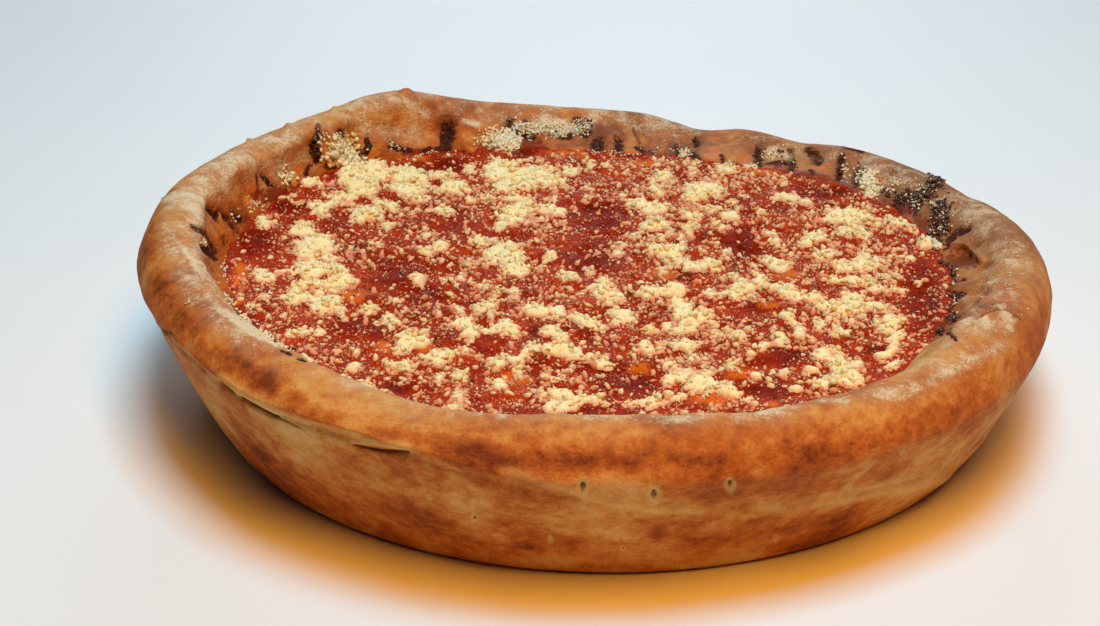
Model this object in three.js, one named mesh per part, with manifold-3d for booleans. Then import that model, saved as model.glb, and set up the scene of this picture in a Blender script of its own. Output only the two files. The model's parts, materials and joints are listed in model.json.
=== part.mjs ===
// A deep dish pizza, baked as a free-standing bread bowl and turned out of its tin.
// One solid is the crust: a flat foot, a flaring wall with a folded seam, a thick
// rolled rim that rises and falls, and an inner slope that is pinched into the filling.
// The other is the filling, up to its tomato sauce, with drifts of grated cheese on it.
// Sizes are in millimetres and the part stands on its foot, +Z up.
import * as THREE from "three";
import { mergeVertices } from "three/addons/utils/BufferGeometryUtils.js";
import Module from "manifold-3d";

const wasm = await Module();
wasm.setup();

// Driving sizes of the crust.
const footRadius = 131; // where the wall stands up from the rounded foot
const footRound = 9; // how far in from there the underside is flat
const footHeight = 5.5; // height of the rounding under the wall
const wallCurve = 0.85; // below 1 the wall bellies out early, as pressed dough does
const sauceLevel = 40; // height of the filling's surface
const floorThickness = 9; // bread under the filling
const rimCrestInset = 14; // from the widest line in to the top of the rim
const widestBelowRim = 12.5; // from the top of the rim down to the widest line
const seamDepth = 0.7; // how deep the fold under the rolled edge cuts in
const seamGape = { turn: 236, spread: 24, depth: 0.4 }; // and where it has opened as it baked
const seamLip = 2.5; // height of the lips above and below that fold
const fillingGap = 0.5; // clear space between the filling and the bread

// Mesh density.
const crustSegments = 120;
const fillingSegments = 60;
const sauceRings = 8;
const lumpFacets = { sides: 7, bands: 4 };
const crumbFacets = { sides: 5, bands: 3 };

// The rim was shaped by hand, so it differs all the way round. One row every 22.5
// degrees, anticlockwise from +X: reach of the widest line, height of the rim, radius
// of the filling's edge, and height of the seam.
const rimStations = [
  { reach: 147, rim: 53, edge: 114, seam: 16 },
  { reach: 147, rim: 48, edge: 114, seam: 18 },
  { reach: 148, rim: 45.5, edge: 111.5, seam: 20 },
  { reach: 149, rim: 43, edge: 106, seam: 22 },
  { reach: 150, rim: 46, edge: 107, seam: 24 },
  { reach: 151, rim: 55, edge: 118.5, seam: 28 },
  { reach: 151, rim: 60, edge: 129, seam: 32 },
  { reach: 152.5, rim: 60, edge: 129, seam: 37 },
  { reach: 152, rim: 63, edge: 125, seam: 43 },
  { reach: 151, rim: 61, edge: 120, seam: 48 },
  { reach: 152, rim: 57, edge: 118, seam: 46.5 },
  { reach: 153, rim: 54, edge: 118, seam: 45.5 },
  { reach: 152, rim: 56, edge: 118, seam: 34.5 },
  { reach: 151, rim: 54, edge: 118, seam: 26 },
  { reach: 149, rim: 54, edge: 118, seam: 20.5 },
  { reach: 147, rim: 54, edge: 116, seam: 17 },
];

// Swells and dips along the top of the rim: place, half width in degrees, and lift.
const rimKnuckles = [
  { turn: 123, spread: 8, lift: 4.5 },
  { turn: 105, spread: 8, lift: -1.5 },
  { turn: 83, spread: 6, lift: 1.2 },
  { turn: 73, spread: 5, lift: -2 },
  { turn: 65, spread: 4, lift: 0.5 },
  { turn: 57, spread: 5, lift: -1.8 },
  { turn: 33, spread: 7, lift: 1 },
  { turn: 22, spread: 4, lift: -1.2 },
  { turn: 11, spread: 8, lift: -0.6 },
];

// Thumb pinches that press the inner slope into the filling.
const pinches = [
  { turn: 169, spread: 2.2, depth: 3 },
  { turn: 160, spread: 2.2, depth: 3 },
  { turn: 146, spread: 2.4, depth: 3 },
  { turn: 134, spread: 2.4, depth: 3.5 },
  { turn: 118, spread: 3, depth: 4 },
  { turn: 104, spread: 3, depth: 3 },
  { turn: 89, spread: 2.4, depth: 3.5 },
  { turn: 80, spread: 2.4, depth: 3 },
  { turn: 72, spread: 2.6, depth: 3.5 },
  { turn: 60, spread: 3, depth: 3.5 },
  { turn: 51, spread: 2.4, depth: 3 },
  { turn: 42, spread: 2.6, depth: 3.5 },
  { turn: 27, spread: 4, depth: 3 },
  { turn: 12, spread: 2.6, depth: 4 },
  { turn: 2, spread: 2.2, depth: 4 },
  { turn: 352, spread: 2.2, depth: 4 },
  { turn: 344, spread: 2.2, depth: 3.5 },
];

// Drifts of grated cheese on the sauce: middle, length, width and heading in degrees.
const cheeseDrifts = [
  { x: -97, y: 103, long: 22, wide: 9, turn: 105 },
  { x: -76, y: 88, long: 44, wide: 15, turn: 165 },
  { x: -86, y: 72, long: 26, wide: 9, turn: 100 },
  { x: -98, y: 56, long: 20, wide: 13, turn: 110 },
  { x: -79, y: 51, long: 16, wide: 12, turn: 90 },
  { x: -102, y: 34, long: 28, wide: 10, turn: 100 },
  { x: -95, y: 5, long: 28, wide: 14, turn: 95 },
  { x: -40, y: 104, long: 22, wide: 9, turn: 70 },
  { x: -34, y: 84, long: 28, wide: 12, turn: 100 },
  { x: -21, y: 84, long: 14, wide: 12, turn: 0 },
  { x: -26, y: 55, long: 24, wide: 9, turn: 0 },
  { x: -33, y: 45, long: 14, wide: 7, turn: 150 },
  { x: -34, y: 13, long: 20, wide: 12, turn: 120 },
  { x: -57, y: 20, long: 10, wide: 6, turn: 80 },
  { x: -100, y: -18, long: 24, wide: 9, turn: 85 },
  { x: -90, y: -26, long: 20, wide: 11, turn: 95 },
  { x: -60, y: -7, long: 9, wide: 5, turn: 140 },
  { x: -39, y: -10, long: 9, wide: 7, turn: 120 },
  { x: -67, y: -36, long: 9, wide: 6, turn: 120 },
  { x: -77, y: -30, long: 11, wide: 6, turn: 0 },
  { x: -62, y: -57, long: 16, wide: 12, turn: 100 },
  { x: -55, y: -68, long: 22, wide: 9, turn: 0 },
  { x: -50, y: -78, long: 14, wide: 7, turn: 0 },
  { x: -39, y: -49, long: 27, wide: 9, turn: 50 },
  { x: -17, y: -35, long: 14, wide: 9, turn: 150 },
  { x: -6, y: -39, long: 11, wide: 6, turn: 170 },
  { x: -2, y: -14, long: 10, wide: 6, turn: 90 },
  { x: -13, y: -58, long: 20, wide: 12, turn: 160 },
  { x: -14, y: -95, long: 15, wide: 12, turn: 60 },
  { x: -76, y: -80, long: 12, wide: 5, turn: 145 },
  { x: 18, y: 60, long: 30, wide: 13, turn: 150 },
  { x: 22, y: 76, long: 14, wide: 9, turn: 80 },
  { x: 38, y: 72, long: 18, wide: 13, turn: 60 },
  { x: 88, y: 47, long: 26, wide: 12, turn: 5 },
  { x: 80, y: 31, long: 24, wide: 8, turn: 10 },
  { x: 24, y: 13, long: 22, wide: 6, turn: 95 },
  { x: 55, y: 9, long: 10, wide: 5, turn: 150 },
  { x: 75, y: 9, long: 18, wide: 9, turn: 100 },
  { x: 88, y: 5, long: 16, wide: 11, turn: 20 },
  { x: 103, y: 12, long: 7, wide: 6, turn: 0 },
  { x: 18, y: -18, long: 18, wide: 12, turn: 150 },
  { x: 24, y: -37, long: 20, wide: 10, turn: 85 },
  { x: 6, y: -34, long: 9, wide: 7, turn: 60 },
  { x: 38, y: -44, long: 13, wide: 7, turn: 150 },
  { x: 58, y: -16, long: 32, wide: 7, turn: 152 },
  { x: 76, y: -26, long: 20, wide: 14, turn: 40 },
  { x: 81, y: -5, long: 26, wide: 10, turn: 170 },
  { x: 89, y: -36, long: 34, wide: 9, turn: 85 },
  { x: 59, y: -42, long: 10, wide: 6, turn: 100 },
  { x: 53, y: -55, long: 20, wide: 5, turn: 45 },
  { x: 24, y: -59, long: 16, wide: 7, turn: 130 },
  { x: 68, y: -68, long: 22, wide: 10, turn: 100 },
  { x: 65, y: -82, long: 13, wide: 6, turn: 0 },
  { x: 84, y: -60, long: 9, wide: 6, turn: 45 },
  { x: 100, y: -57, long: 8, wide: 7, turn: 20 },
  { x: 29, y: -83, long: 18, wide: 10, turn: 150 },
  { x: 12, y: -95, long: 11, wide: 6, turn: 30 },
];
const cheeseHeight = 3.2; // of the tallest lump above the sauce
const lumpSpacing = 15; // along a drift
const looseCrumbs = 30; // single crumbs strewn between the drifts
const wallClearance = 3.5; // from a lump's side to the crust

// Burnt crusts of sauce and cheese that stick up from the inner slope.
const charCrags = [
  { turn: 31, slope: 0.75, size: 3.6 },
  { turn: 28, slope: 0.5, size: 4 },
  { turn: 24, slope: 0.3, size: 3.8 },
  { turn: 34, slope: 0.95, size: 2.8 },
  { turn: 20, slope: 0.25, size: 3.2 },
  { turn: 37, slope: 0.3, size: 2.8 },
  { turn: 118, slope: 0.35, size: 3 },
  { turn: 102, slope: 0.6, size: 3 },
  { turn: 97, slope: 0.65, size: 2.8 },
  { turn: 136, slope: 0.5, size: 3 },
  { turn: 132, slope: 0.35, size: 2.8 },
  { turn: 62, slope: 0.6, size: 2.6 },
];

// Repeatable chance: each list of random draws starts from its own seed.
function dice(seed) {
  let state = seed;
  return () => {
    state = (state * 16807) % 2147483647;
    return state / 2147483647;
  };
}

// A smooth closed curve through one value of each rim station.
function aroundRim(key, turn) {
  const count = rimStations.length;
  const place = (((turn / 360) % 1) + 1) * count;
  const first = Math.floor(place);
  const part = place - first;
  const [a, b, c, d] = [-1, 0, 1, 2].map((step) => rimStations[(first + step + count) % count][key]);
  const straight = (c - a) * part;
  const bend = (2 * a - 5 * b + 4 * c - d) * part ** 2;
  const twist = (3 * b - a - 3 * c + d) * part ** 3;
  return (2 * b + straight + bend + twist) / 2;
}

// 1 at the middle of a feature and fading out to its sides, round the ring.
function nearTurn(turn, middle, spread) {
  const away = ((((turn - middle) % 360) + 540) % 360) - 180;
  return Math.exp(-((away / spread) ** 2));
}

function rimHeight(turn) {
  const lift = rimKnuckles.reduce((sum, k) => sum + k.lift * nearTurn(turn, k.turn, k.spread), 0);
  return aroundRim("rim", turn) + lift;
}

function pinchDepth(turn) {
  return pinches.reduce((sum, p) => sum + p.depth * nearTurn(turn, p.turn, p.spread), 0);
}

// The crust's cross section at one turn, from the middle of its underside, up the
// outside, over the rim and down the inside to the middle of its floor.
function crustSection(turn) {
  const { lerp } = THREE.MathUtils;
  const reach = aroundRim("reach", turn);
  const rim = rimHeight(turn);
  const edge = aroundRim("edge", turn);
  const seam = aroundRim("seam", turn);
  const widest = Math.max(rim - widestBelowRim, seam + 4);
  const crest = reach - rimCrestInset;
  const wallRadius = (height) => {
    const share = (height - footHeight) / (widest - footHeight);
    return lerp(footRadius, reach, share ** wallCurve);
  };
  const fold = seamDepth + seamGape.depth * nearTurn(turn, seamGape.turn, seamGape.spread);
  const pinch = pinchDepth(turn);
  const slope = (share, sink) => [lerp(edge, crest - 5, share) + sink, lerp(sauceLevel + 1, rim - 1.8, share)];
  const lowHeight = lerp(footHeight, seam - seamLip, 0.35);
  const midHeight = lerp(footHeight, seam - seamLip, 0.7);
  return [
    [0, 0],
    [footRadius - footRound, 0],
    [footRadius - footRound / 3, 1],
    [footRadius, footHeight],
    [wallRadius(lowHeight), lowHeight],
    [wallRadius(midHeight), midHeight],
    [wallRadius(seam - seamLip), seam - seamLip],
    [wallRadius(seam) - fold, seam],
    [wallRadius(seam) + 0.8, seam + seamLip],
    [reach, widest],
    [reach - 3.2, lerp(widest, rim, 0.62)],
    [reach - 8, rim - 1],
    [crest, rim],
    slope(1, 0),
    slope(0.68, pinch * 0.45),
    slope(0.34, pinch),
    slope(0, 0),
    [edge - 1.5, sauceLevel - 5],
    [edge - 4, floorThickness + 9],
    [edge - 8, floorThickness + 2],
    [edge - 15, floorThickness],
    [0, floorThickness],
  ];
}

// The filling's side, inside the crust's by the gap, from its underside to its edge.
function fillingSection(turn) {
  const edge = aroundRim("edge", turn) - fillingGap;
  return [
    [0, floorThickness + fillingGap],
    [edge - 15, floorThickness + fillingGap],
    [edge - 8, floorThickness + 2 + fillingGap],
    [edge - 4, floorThickness + 9],
    [edge - 1.5, sauceLevel - 5],
    [edge, sauceLevel + 0.3],
  ];
}

// Low swells of crushed tomato on the sauce, fading out towards the crust.
function sauceHeight(x, y, edge) {
  const inward = 1 - (Math.hypot(x, y) / edge) ** 6;
  const broad = Math.sin(x / 13 + 0.6) * Math.cos(y / 15 - 0.4);
  const lumps = Math.sin(x / 5.1 + y / 9.7) * Math.cos(y / 4.3 - x / 11.9);
  return sauceLevel + 0.3 + inward * (0.5 * broad + 0.6 * lumps);
}

// A lathe whose every ring is then pushed to the section of its own turn.
function turned(sectionAt, segments) {
  const outline = sectionAt(0).map(([radius, height]) => new THREE.Vector2(radius, height));
  const lathe = new THREE.LatheGeometry(outline, segments);
  const position = lathe.getAttribute("position");
  for (let segment = 0; segment <= segments; segment += 1) {
    const turn = ((segment % segments) / segments) * 360;
    const angle = THREE.MathUtils.degToRad(turn);
    sectionAt(turn).forEach(([radius, height], ring) => {
      const index = segment * outline.length + ring;
      position.setXYZ(index, radius * Math.cos(angle), radius * Math.sin(angle), height);
    });
  }
  return lathe;
}

// Only positions are kept, so that shared corners merge and the surface closes.
function solidOf(geometry) {
  const merged = mergeVertices(stripped(geometry), 1e-4);
  const triVerts = new Uint32Array(merged.index.array);
  const vertProperties = merged.getAttribute("position").array;
  return new wasm.Manifold(new wasm.Mesh({ numProp: 3, vertProperties, triVerts }));
}

function geometryOf(solid) {
  const { vertProperties, triVerts } = solid.getMesh();
  const geometry = new THREE.BufferGeometry();
  geometry.setAttribute("position", new THREE.BufferAttribute(vertProperties, 3));
  geometry.setIndex(new THREE.BufferAttribute(triVerts, 1));
  geometry.computeVertexNormals();
  return geometry;
}

// A knobbly lump, flatter than it is wide.
function lump({ x, y, z, long, wide, tall, turn }, draw, { sides, bands }) {
  const ball = new THREE.SphereGeometry(1, sides, bands).rotateX(Math.PI / 2);
  const knob = mergeVertices(stripped(ball), 1e-4);
  const position = knob.getAttribute("position");
  for (let i = 0; i < position.count; i += 1) {
    const uneven = 0.82 + 0.36 * draw();
    position.setXYZ(i, position.getX(i) * uneven, position.getY(i) * uneven, position.getZ(i) * uneven);
  }
  knob.scale(long, wide, tall);
  knob.rotateZ(THREE.MathUtils.degToRad(turn));
  knob.translate(x, y, z);
  return solidOf(knob);
}

function stripped(geometry) {
  geometry.deleteAttribute("normal");
  geometry.deleteAttribute("uv");
  return geometry;
}

// How far a point lies inside the filling's edge.
function roomToWall(x, y) {
  const turn = THREE.MathUtils.radToDeg(Math.atan2(y, x));
  return aroundRim("edge", turn) - Math.hypot(x, y);
}

// Lumps side by side along one drift, each a little off its line.
function driftLumps(drift, draw) {
  const count = Math.max(1, Math.round(drift.long / lumpSpacing));
  const heading = THREE.MathUtils.degToRad(drift.turn);
  return Array.from({ length: count }, (_, i) => {
    const along = (((i + 0.5) / count) - 0.5) * drift.long + (draw() - 0.5) * 2;
    const aside = (draw() - 0.5) * drift.wide * 0.3;
    return {
      x: drift.x + along * Math.cos(heading) - aside * Math.sin(heading),
      y: drift.y + along * Math.sin(heading) + aside * Math.cos(heading),
      long: (drift.long / count) * (0.5 + 0.14 * draw()),
      wide: drift.wide * (0.38 + 0.14 * draw()),
      tall: cheeseHeight * (0.65 + 0.35 * draw()),
      turn: drift.turn + (draw() - 0.5) * 30,
    };
  });
}

// A single crumb anywhere on the sauce.
function crumb(draw) {
  const radius = 104 * Math.sqrt(draw());
  const turn = draw() * 2 * Math.PI;
  const size = 1.3 + 0.9 * draw();
  return {
    x: radius * Math.cos(turn),
    y: radius * Math.sin(turn),
    long: size * 1.2,
    wide: size,
    tall: size * 0.9,
    turn: draw() * 360,
  };
}

// Moves a lump in from the crust until its side is clear of it, and sets it on the sauce.
function settled(piece) {
  const short = wallClearance + piece.long - roomToWall(piece.x, piece.y);
  const pull = short > 0 ? 1 - short / Math.hypot(piece.x, piece.y) : 1;
  const x = piece.x * pull;
  const y = piece.y * pull;
  return { ...piece, x, y, z: sauceHeight(x, y, 120) };
}

function gratedCheese() {
  const draw = dice(4217);
  const lumps = cheeseDrifts.flatMap((drift) => driftLumps(drift, draw));
  const big = lumps.map((piece) => lump(settled(piece), draw, lumpFacets));
  const small = Array.from({ length: looseCrumbs }, () => lump(settled(crumb(draw)), draw, crumbFacets));
  return [...big, ...small];
}

// The filling's side and underside are turned, and its top is a disc of rings in relief.
function fillingSolid() {
  const sectionAt = (turn) => {
    const side = fillingSection(turn);
    const [edge] = side[side.length - 1];
    const angle = THREE.MathUtils.degToRad(turn);
    const top = Array.from({ length: sauceRings }, (_, ring) => {
      const radius = edge * (1 - (ring + 1) / sauceRings);
      return [radius, sauceHeight(radius * Math.cos(angle), radius * Math.sin(angle), edge)];
    });
    return [...side, ...top];
  };
  return solidOf(turned(sectionAt, fillingSegments));
}

function charCrag({ turn, slope, size }, draw) {
  const section = crustSection(turn);
  const [low, high] = [section[16], section[13]];
  const radius = THREE.MathUtils.lerp(low[0], high[0], slope);
  const angle = THREE.MathUtils.degToRad(turn);
  const z = THREE.MathUtils.lerp(low[1], high[1], slope) + 0.8;
  const place = { x: radius * Math.cos(angle), y: radius * Math.sin(angle), z, turn };
  return lump({ ...place, long: size * 1.2, wide: size, tall: size * 0.55 }, draw, lumpFacets);
}

function crustSolid() {
  const draw = dice(933);
  const bread = solidOf(turned(crustSection, crustSegments));
  const crags = charCrags.map((crag) => charCrag(crag, draw));
  return wasm.Manifold.union([bread, ...crags]);
}

function mesh(name, solid, material) {
  const made = new THREE.Mesh(geometryOf(solid), material);
  made.name = name;
  return made;
}

const bakedBread = new THREE.MeshStandardMaterial({ color: 0xb37238, roughness: 0.75, metalness: 0 });
const tomatoSauce = new THREE.MeshStandardMaterial({ color: 0xa83a22, roughness: 0.35, metalness: 0 });

const crust = mesh("bread_crust", crustSolid(), bakedBread);
const filling = mesh(
  "tomato_filling",
  wasm.Manifold.union([fillingSolid(), ...gratedCheese()]),
  tomatoSauce,
);

// The origin is the middle of the crust's outline on the surface it stands on.
const pizza = new THREE.Group();
pizza.add(crust, filling);
const middle = new THREE.Box3().setFromObject(crust).getCenter(new THREE.Vector3());
pizza.position.set(-middle.x, -middle.y, 0);

export default pizza;
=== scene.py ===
import json
import math

import bmesh
import bpy
import numpy as np
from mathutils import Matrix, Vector

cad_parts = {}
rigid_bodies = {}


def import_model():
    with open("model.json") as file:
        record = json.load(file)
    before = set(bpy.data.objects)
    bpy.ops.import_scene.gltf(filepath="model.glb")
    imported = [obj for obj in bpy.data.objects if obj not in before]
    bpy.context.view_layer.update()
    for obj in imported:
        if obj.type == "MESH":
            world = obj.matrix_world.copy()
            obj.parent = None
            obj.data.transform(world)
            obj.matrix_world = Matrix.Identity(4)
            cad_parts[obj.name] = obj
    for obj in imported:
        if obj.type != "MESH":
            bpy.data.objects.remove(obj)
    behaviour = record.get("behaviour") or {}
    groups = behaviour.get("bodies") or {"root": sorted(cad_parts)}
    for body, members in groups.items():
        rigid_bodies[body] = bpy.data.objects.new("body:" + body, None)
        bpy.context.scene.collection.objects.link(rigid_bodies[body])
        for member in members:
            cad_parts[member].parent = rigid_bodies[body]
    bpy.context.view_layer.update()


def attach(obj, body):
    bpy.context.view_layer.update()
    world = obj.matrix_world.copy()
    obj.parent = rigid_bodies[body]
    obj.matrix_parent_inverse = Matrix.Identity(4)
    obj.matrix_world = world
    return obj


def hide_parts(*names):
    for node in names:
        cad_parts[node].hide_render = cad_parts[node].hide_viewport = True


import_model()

mm = 0.001

# Shape of the rim, in mm. One value every 22.5 degrees, anticlockwise from +X: the reach of the widest line,
# the height of the top, the edge of the filling and the height of the fold.
rim = {
    "reach": [147, 147, 148, 149, 150, 151, 151, 152.5, 152, 151, 152, 153, 152, 151, 149, 147],
    "height": [53, 48, 45.5, 43, 46, 55, 60, 60, 63, 61, 57, 54, 56, 54, 54, 54],
    "edge": [114, 114, 111.5, 106, 107, 118.5, 129, 129, 125, 120, 118, 118, 118, 118, 118, 116],
    "seam": [16, 18, 20, 22, 24, 28, 32, 37, 43, 48, 46.5, 45.5, 34.5, 26, 20.5, 17],
    "knuckles": [  # turn, half width in degrees, lift
        (123, 8, 4.5), (105, 8, -1.5), (83, 6, 1.2), (73, 5, -2),
        (65, 4, 0.5), (57, 5, -1.8), (33, 7, 1), (22, 4, -1.2), (11, 8, -0.6),
    ],
    "pinches": [  # turn, half width in degrees, depth
        (169, 2.2, 3), (160, 2.2, 3), (146, 2.4, 3), (134, 2.4, 3.5), (118, 3, 4), (104, 3, 3),
        (89, 2.4, 3.5), (80, 2.4, 3), (72, 2.6, 3.5), (60, 3, 3.5), (51, 2.4, 3), (42, 2.6, 3.5),
        (27, 4, 3), (12, 2.6, 4), (2, 2.2, 4), (352, 2.2, 4), (344, 2.2, 3.5),
    ],
}
dough = {
    "footRadius": 131, "footRound": 9, "footHeight": 5.5, "wallCurve": 0.85, "floor": 9,
    "sauceLevel": 40, "crestInset": 14, "widestBelowRim": 12.5,
    "seamDepth": 0.7, "seamGape": (236, 24, 0.4), "seamLip": 2.5,
}
frontTurn = 262  # the side whose wall shows most


def aroundRim(key, turn):  # a smooth closed curve through the values
    values = np.array(rim[key], float)
    place = (np.asarray(turn, float) / 360 % 1) * len(values)
    first = np.floor(place).astype(int)
    part = place - first
    a, b, c, d = (values[(first + step) % len(values)] for step in (-1, 0, 1, 2))
    bend = 2 * a - 5 * b + 4 * c - d
    twist = 3 * b - a - 3 * c + d
    return (2 * b + (c - a) * part + bend * part**2 + twist * part**3) / 2


def nearTurn(turn, at, spread):  # 1 at that turn, fading to its sides
    away = (np.asarray(turn, float) - at + 180) % 360 - 180
    return np.exp(-((away / spread) ** 2))


def swellings(places, turn):
    return sum(amount * nearTurn(turn, at, wide) for at, wide, amount in places)


def ease(value, low, high):  # 0 below low, 1 above high
    part = np.clip((value - low) / (high - low), 0, 1)
    return part * part * (3 - 2 * part)


def mix(a, b, share):
    return a + (b - a) * share


def toward(turn, radius, height):  # polar to x, y, z
    angle = np.radians(turn)
    return np.stack([radius * np.cos(angle), radius * np.sin(angle), height + 0 * angle], axis=-1)


def middleOfOutline():  # as in the CAD part, the origin is the middle of the outline
    turn = np.arange(0, 360, 3)
    outline = toward(turn, aroundRim("reach", turn), 0)
    return (outline.min(axis=0) + outline.max(axis=0)) / 2


middle = middleOfOutline()


def lattice(cell, seed):  # one repeatable number from -1 to 1 for each cell
    mixed = cell[..., 0] * 73856093 ^ cell[..., 1] * 19349663 ^ cell[..., 2] * 83492791 ^ seed * 40503001
    mixed = (mixed ^ (mixed >> 13)) * 1274126177 & 0x7FFFFFFF
    return ((mixed ^ (mixed >> 16)) % 20011) / 10005 - 1


def lumps(points, size, seed=1):  # smooth noise, its lumps about that size in mm
    grid = points / size
    cell = np.floor(grid).astype(np.int64)
    part = grid - cell
    soft = part * part * (3 - 2 * part)
    total = 0
    for corner in np.ndindex(2, 2, 2):
        weight = np.prod(np.where(np.array(corner) == 1, soft, 1 - soft), axis=-1)
        total = total + weight * lattice(cell + np.array(corner), seed)
    return total


def layered(points, seed, *layers):  # lumps of several sizes, each with its share
    return sum(share * lumps(points, size, seed + number) for number, (share, size) in enumerate(layers))


def flatAt(x, y):
    return np.stack([x, y, 0 * x], axis=-1)


def addObject(name, data):
    made = bpy.data.objects.new(name, data)
    bpy.context.collection.objects.link(made)
    return made


def newMesh(name, points, faces):  # points in mm about the middle of the foot
    data = bpy.data.meshes.new(name)
    data.from_pydata(((points - middle) * mm).tolist(), [], faces)
    data.shade_smooth()
    return addObject(name, data)


def paint(piece, name, values):  # a number at each point, for the material to read
    layer = piece.data.attributes.new(name, "FLOAT", "POINT")
    layer.data.foreach_set("value", np.ascontiguousarray(values, np.float32))


# The camera, in mm and pixels. Marks that are placed one by one have their places in pixels of this view.
view = {
    "x": -17.6, "y": 52.4, "distance": 800, "down": math.radians(24.69),
    "focus": 2215, "width": 1100, "height": 626,
}
viewCos, viewSin = math.cos(view["down"]), math.sin(view["down"])
eye = np.array([view["x"], view["y"] - view["distance"] * viewCos, view["distance"] * viewSin])


def inView(points):  # how far across and down the view a point in mm shows
    away = points - eye
    depth = away[..., 1] * viewCos - away[..., 2] * viewSin
    up = away[..., 1] * viewSin + away[..., 2] * viewCos
    across = view["width"] / 2 + view["focus"] * away[..., 0] / depth
    return across, view["height"] / 2 - view["focus"] * up / depth


def lineAway(seen, line):  # distance from a line x, y to x, y, in pixels
    (across, down), (x, y, endX, endY) = seen, line
    longX, longY = endX - x, endY - y
    share = np.clip(((across - x) * longX + (down - y) * longY) / max(longX**2 + longY**2, 1e-9), 0, 1)
    return np.hypot(across - x - share * longX, down - y - share * longY)


def ovalAway(seen, oval):  # 0 at the middle of an oval and 1 at its outline
    x, y, wide, tall, tilt = (*oval, 0)[:5]
    angle = math.radians(tilt)
    offX, offY = seen[0] - x, y - seen[1]
    along = offX * math.cos(angle) + offY * math.sin(angle)
    aside = offY * math.cos(angle) - offX * math.sin(angle)
    return np.hypot(along / (wide / 2), aside / (tall / 2))


def nearest(seen, ovals):
    return np.minimum.reduce([ovalAway(seen, oval) for oval in ovals])


def nearness(away, reach):  # 1 at no distance and 0 from the reach on
    return np.clip(1 - away / reach, 0, 1)


# ---- crust shape
crust = {
    "columns": 800,
    "frontExtra": 0.6,  # how much closer the columns stand at the front
    "rows": [4, 3, 4, 9, 9, 9, 6, 6, 15, 8, 7, 6, 6, 7, 7, 7, 3, 2, 2, 2, 2],  # between control points
    "crest": 12,  # the control point on top of the rim
    "hidden": (16.2, 16.8),  # the control points where the filling covers it
    "farHoles": 14,  # pricked on the side that the view doesn't show
}
bands = {  # along the section, in control points: where a band starts, is whole, fades and ends
    "wall": (2.5, 3.5, 9.5, 11), "inner": (12.4, 14, 16, 17), "handled": (11.0, 13.5, 16, 17),
    "flour": (10.3, 11.6, 13, 14.5), "flourLeft": (10.3, 11.6, 13.5, 15), "flourRight": (10, 11.4, 14, 15.6),
    "dull": (9.3, 11, 15, 16.3),
}


def sections(turn):  # the cross section's control points, radius and height, at each turn
    reach, edge, seam = (aroundRim(key, turn) for key in ("reach", "edge", "seam"))
    top = aroundRim("height", turn) + swellings(rim["knuckles"], turn)
    radius, foot, rounding = dough["footRadius"], dough["footHeight"], dough["footRound"]
    level, floor, lip = dough["sauceLevel"], dough["floor"], dough["seamLip"]
    widest = np.maximum(top - dough["widestBelowRim"], seam + 4)
    crest = reach - dough["crestInset"]
    at, wide, gape = dough["seamGape"]
    fold = dough["seamDepth"] + gape * nearTurn(turn, at, wide)
    pinch = swellings(rim["pinches"], turn)

    def wall(height):
        share = (height - foot) / (widest - foot)
        return mix(radius, reach, np.clip(share, 0, 2) ** dough["wallCurve"])

    def slope(share, sink):
        return mix(edge, crest - 5, share) + sink, mix(level + 1, top - 1.8, share)

    flat = np.zeros_like(reach)
    below = [mix(foot, seam - lip, share) for share in (0.35, 0.7, 1)]
    points = [
        (flat, flat),
        (flat + radius - rounding, flat),
        (flat + radius - rounding / 3, flat + 1),
        (flat + radius, flat + foot),
        *((wall(height), height) for height in below),
        (wall(seam) - fold, seam),
        (wall(seam) + 0.8, seam + lip),
        (reach, widest),
        (reach - 3.2, mix(widest, top, 0.62)),
        (reach - 8, top - 1),
        (crest, top),
        *(slope(share, pinch * sink) for share, sink in ((1, 0), (0.68, 0.45), (0.34, 1), (0, 0))),
        (edge - 1.5, flat + level - 5),
        (edge - 4, flat + floor + 9),
        (edge - 8, flat + floor + 2),
        (edge - 15, flat + floor),
        (flat, flat + floor),
    ]
    return np.stack([np.stack(point, axis=-1) for point in points], axis=1)


def smoothRows(control, steps):  # a curve through the control points that never overshoots
    step = np.diff(control, axis=1)
    span = np.linalg.norm(step, axis=2, keepdims=True)
    heading = step / np.maximum(span, 1e-6)
    turnIn = heading[:, :-1] * span[:, 1:] + heading[:, 1:] * span[:, :-1]
    turnIn = turnIn / np.maximum(np.linalg.norm(turnIn, axis=2, keepdims=True), 1e-6)
    pull = turnIn * np.minimum(span[:, :-1], span[:, 1:])
    pull = np.concatenate([step[:, :1], pull, step[:, -1:]], axis=1)
    rows, places = [], []
    for index, count in enumerate(steps):
        for t in np.arange(count) / count:
            a, b = control[:, index], control[:, index + 1]
            rows.append(
                (2 * t**3 - 3 * t**2 + 1) * a + (t**3 - 2 * t**2 + t) * pull[:, index]
                + (3 * t**2 - 2 * t**3) * b + (t**3 - t**2) * pull[:, index + 1]
            )
            places.append(index + t)
    return np.stack(rows, axis=1), np.array(places)


def gridNormals(grid):  # of a grid that closes on itself round the turn
    sideways = np.roll(grid, -1, axis=0) - np.roll(grid, 1, axis=0)
    normal = np.cross(sideways, np.gradient(grid, axis=1))
    return normal / np.maximum(np.linalg.norm(normal, axis=2, keepdims=True), 1e-9)


def columnTurns():  # the columns stand closer at the front, where the wall shows most
    even = np.arange(0, 360.01, 0.25)
    dense = 1 + crust["frontExtra"] * nearTurn(even, frontTurn, 60)
    total = np.concatenate([[0], np.cumsum((dense[1:] + dense[:-1]) / 2)])
    return np.interp(np.arange(crust["columns"]) / crust["columns"] * total[-1], total, even)


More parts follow.
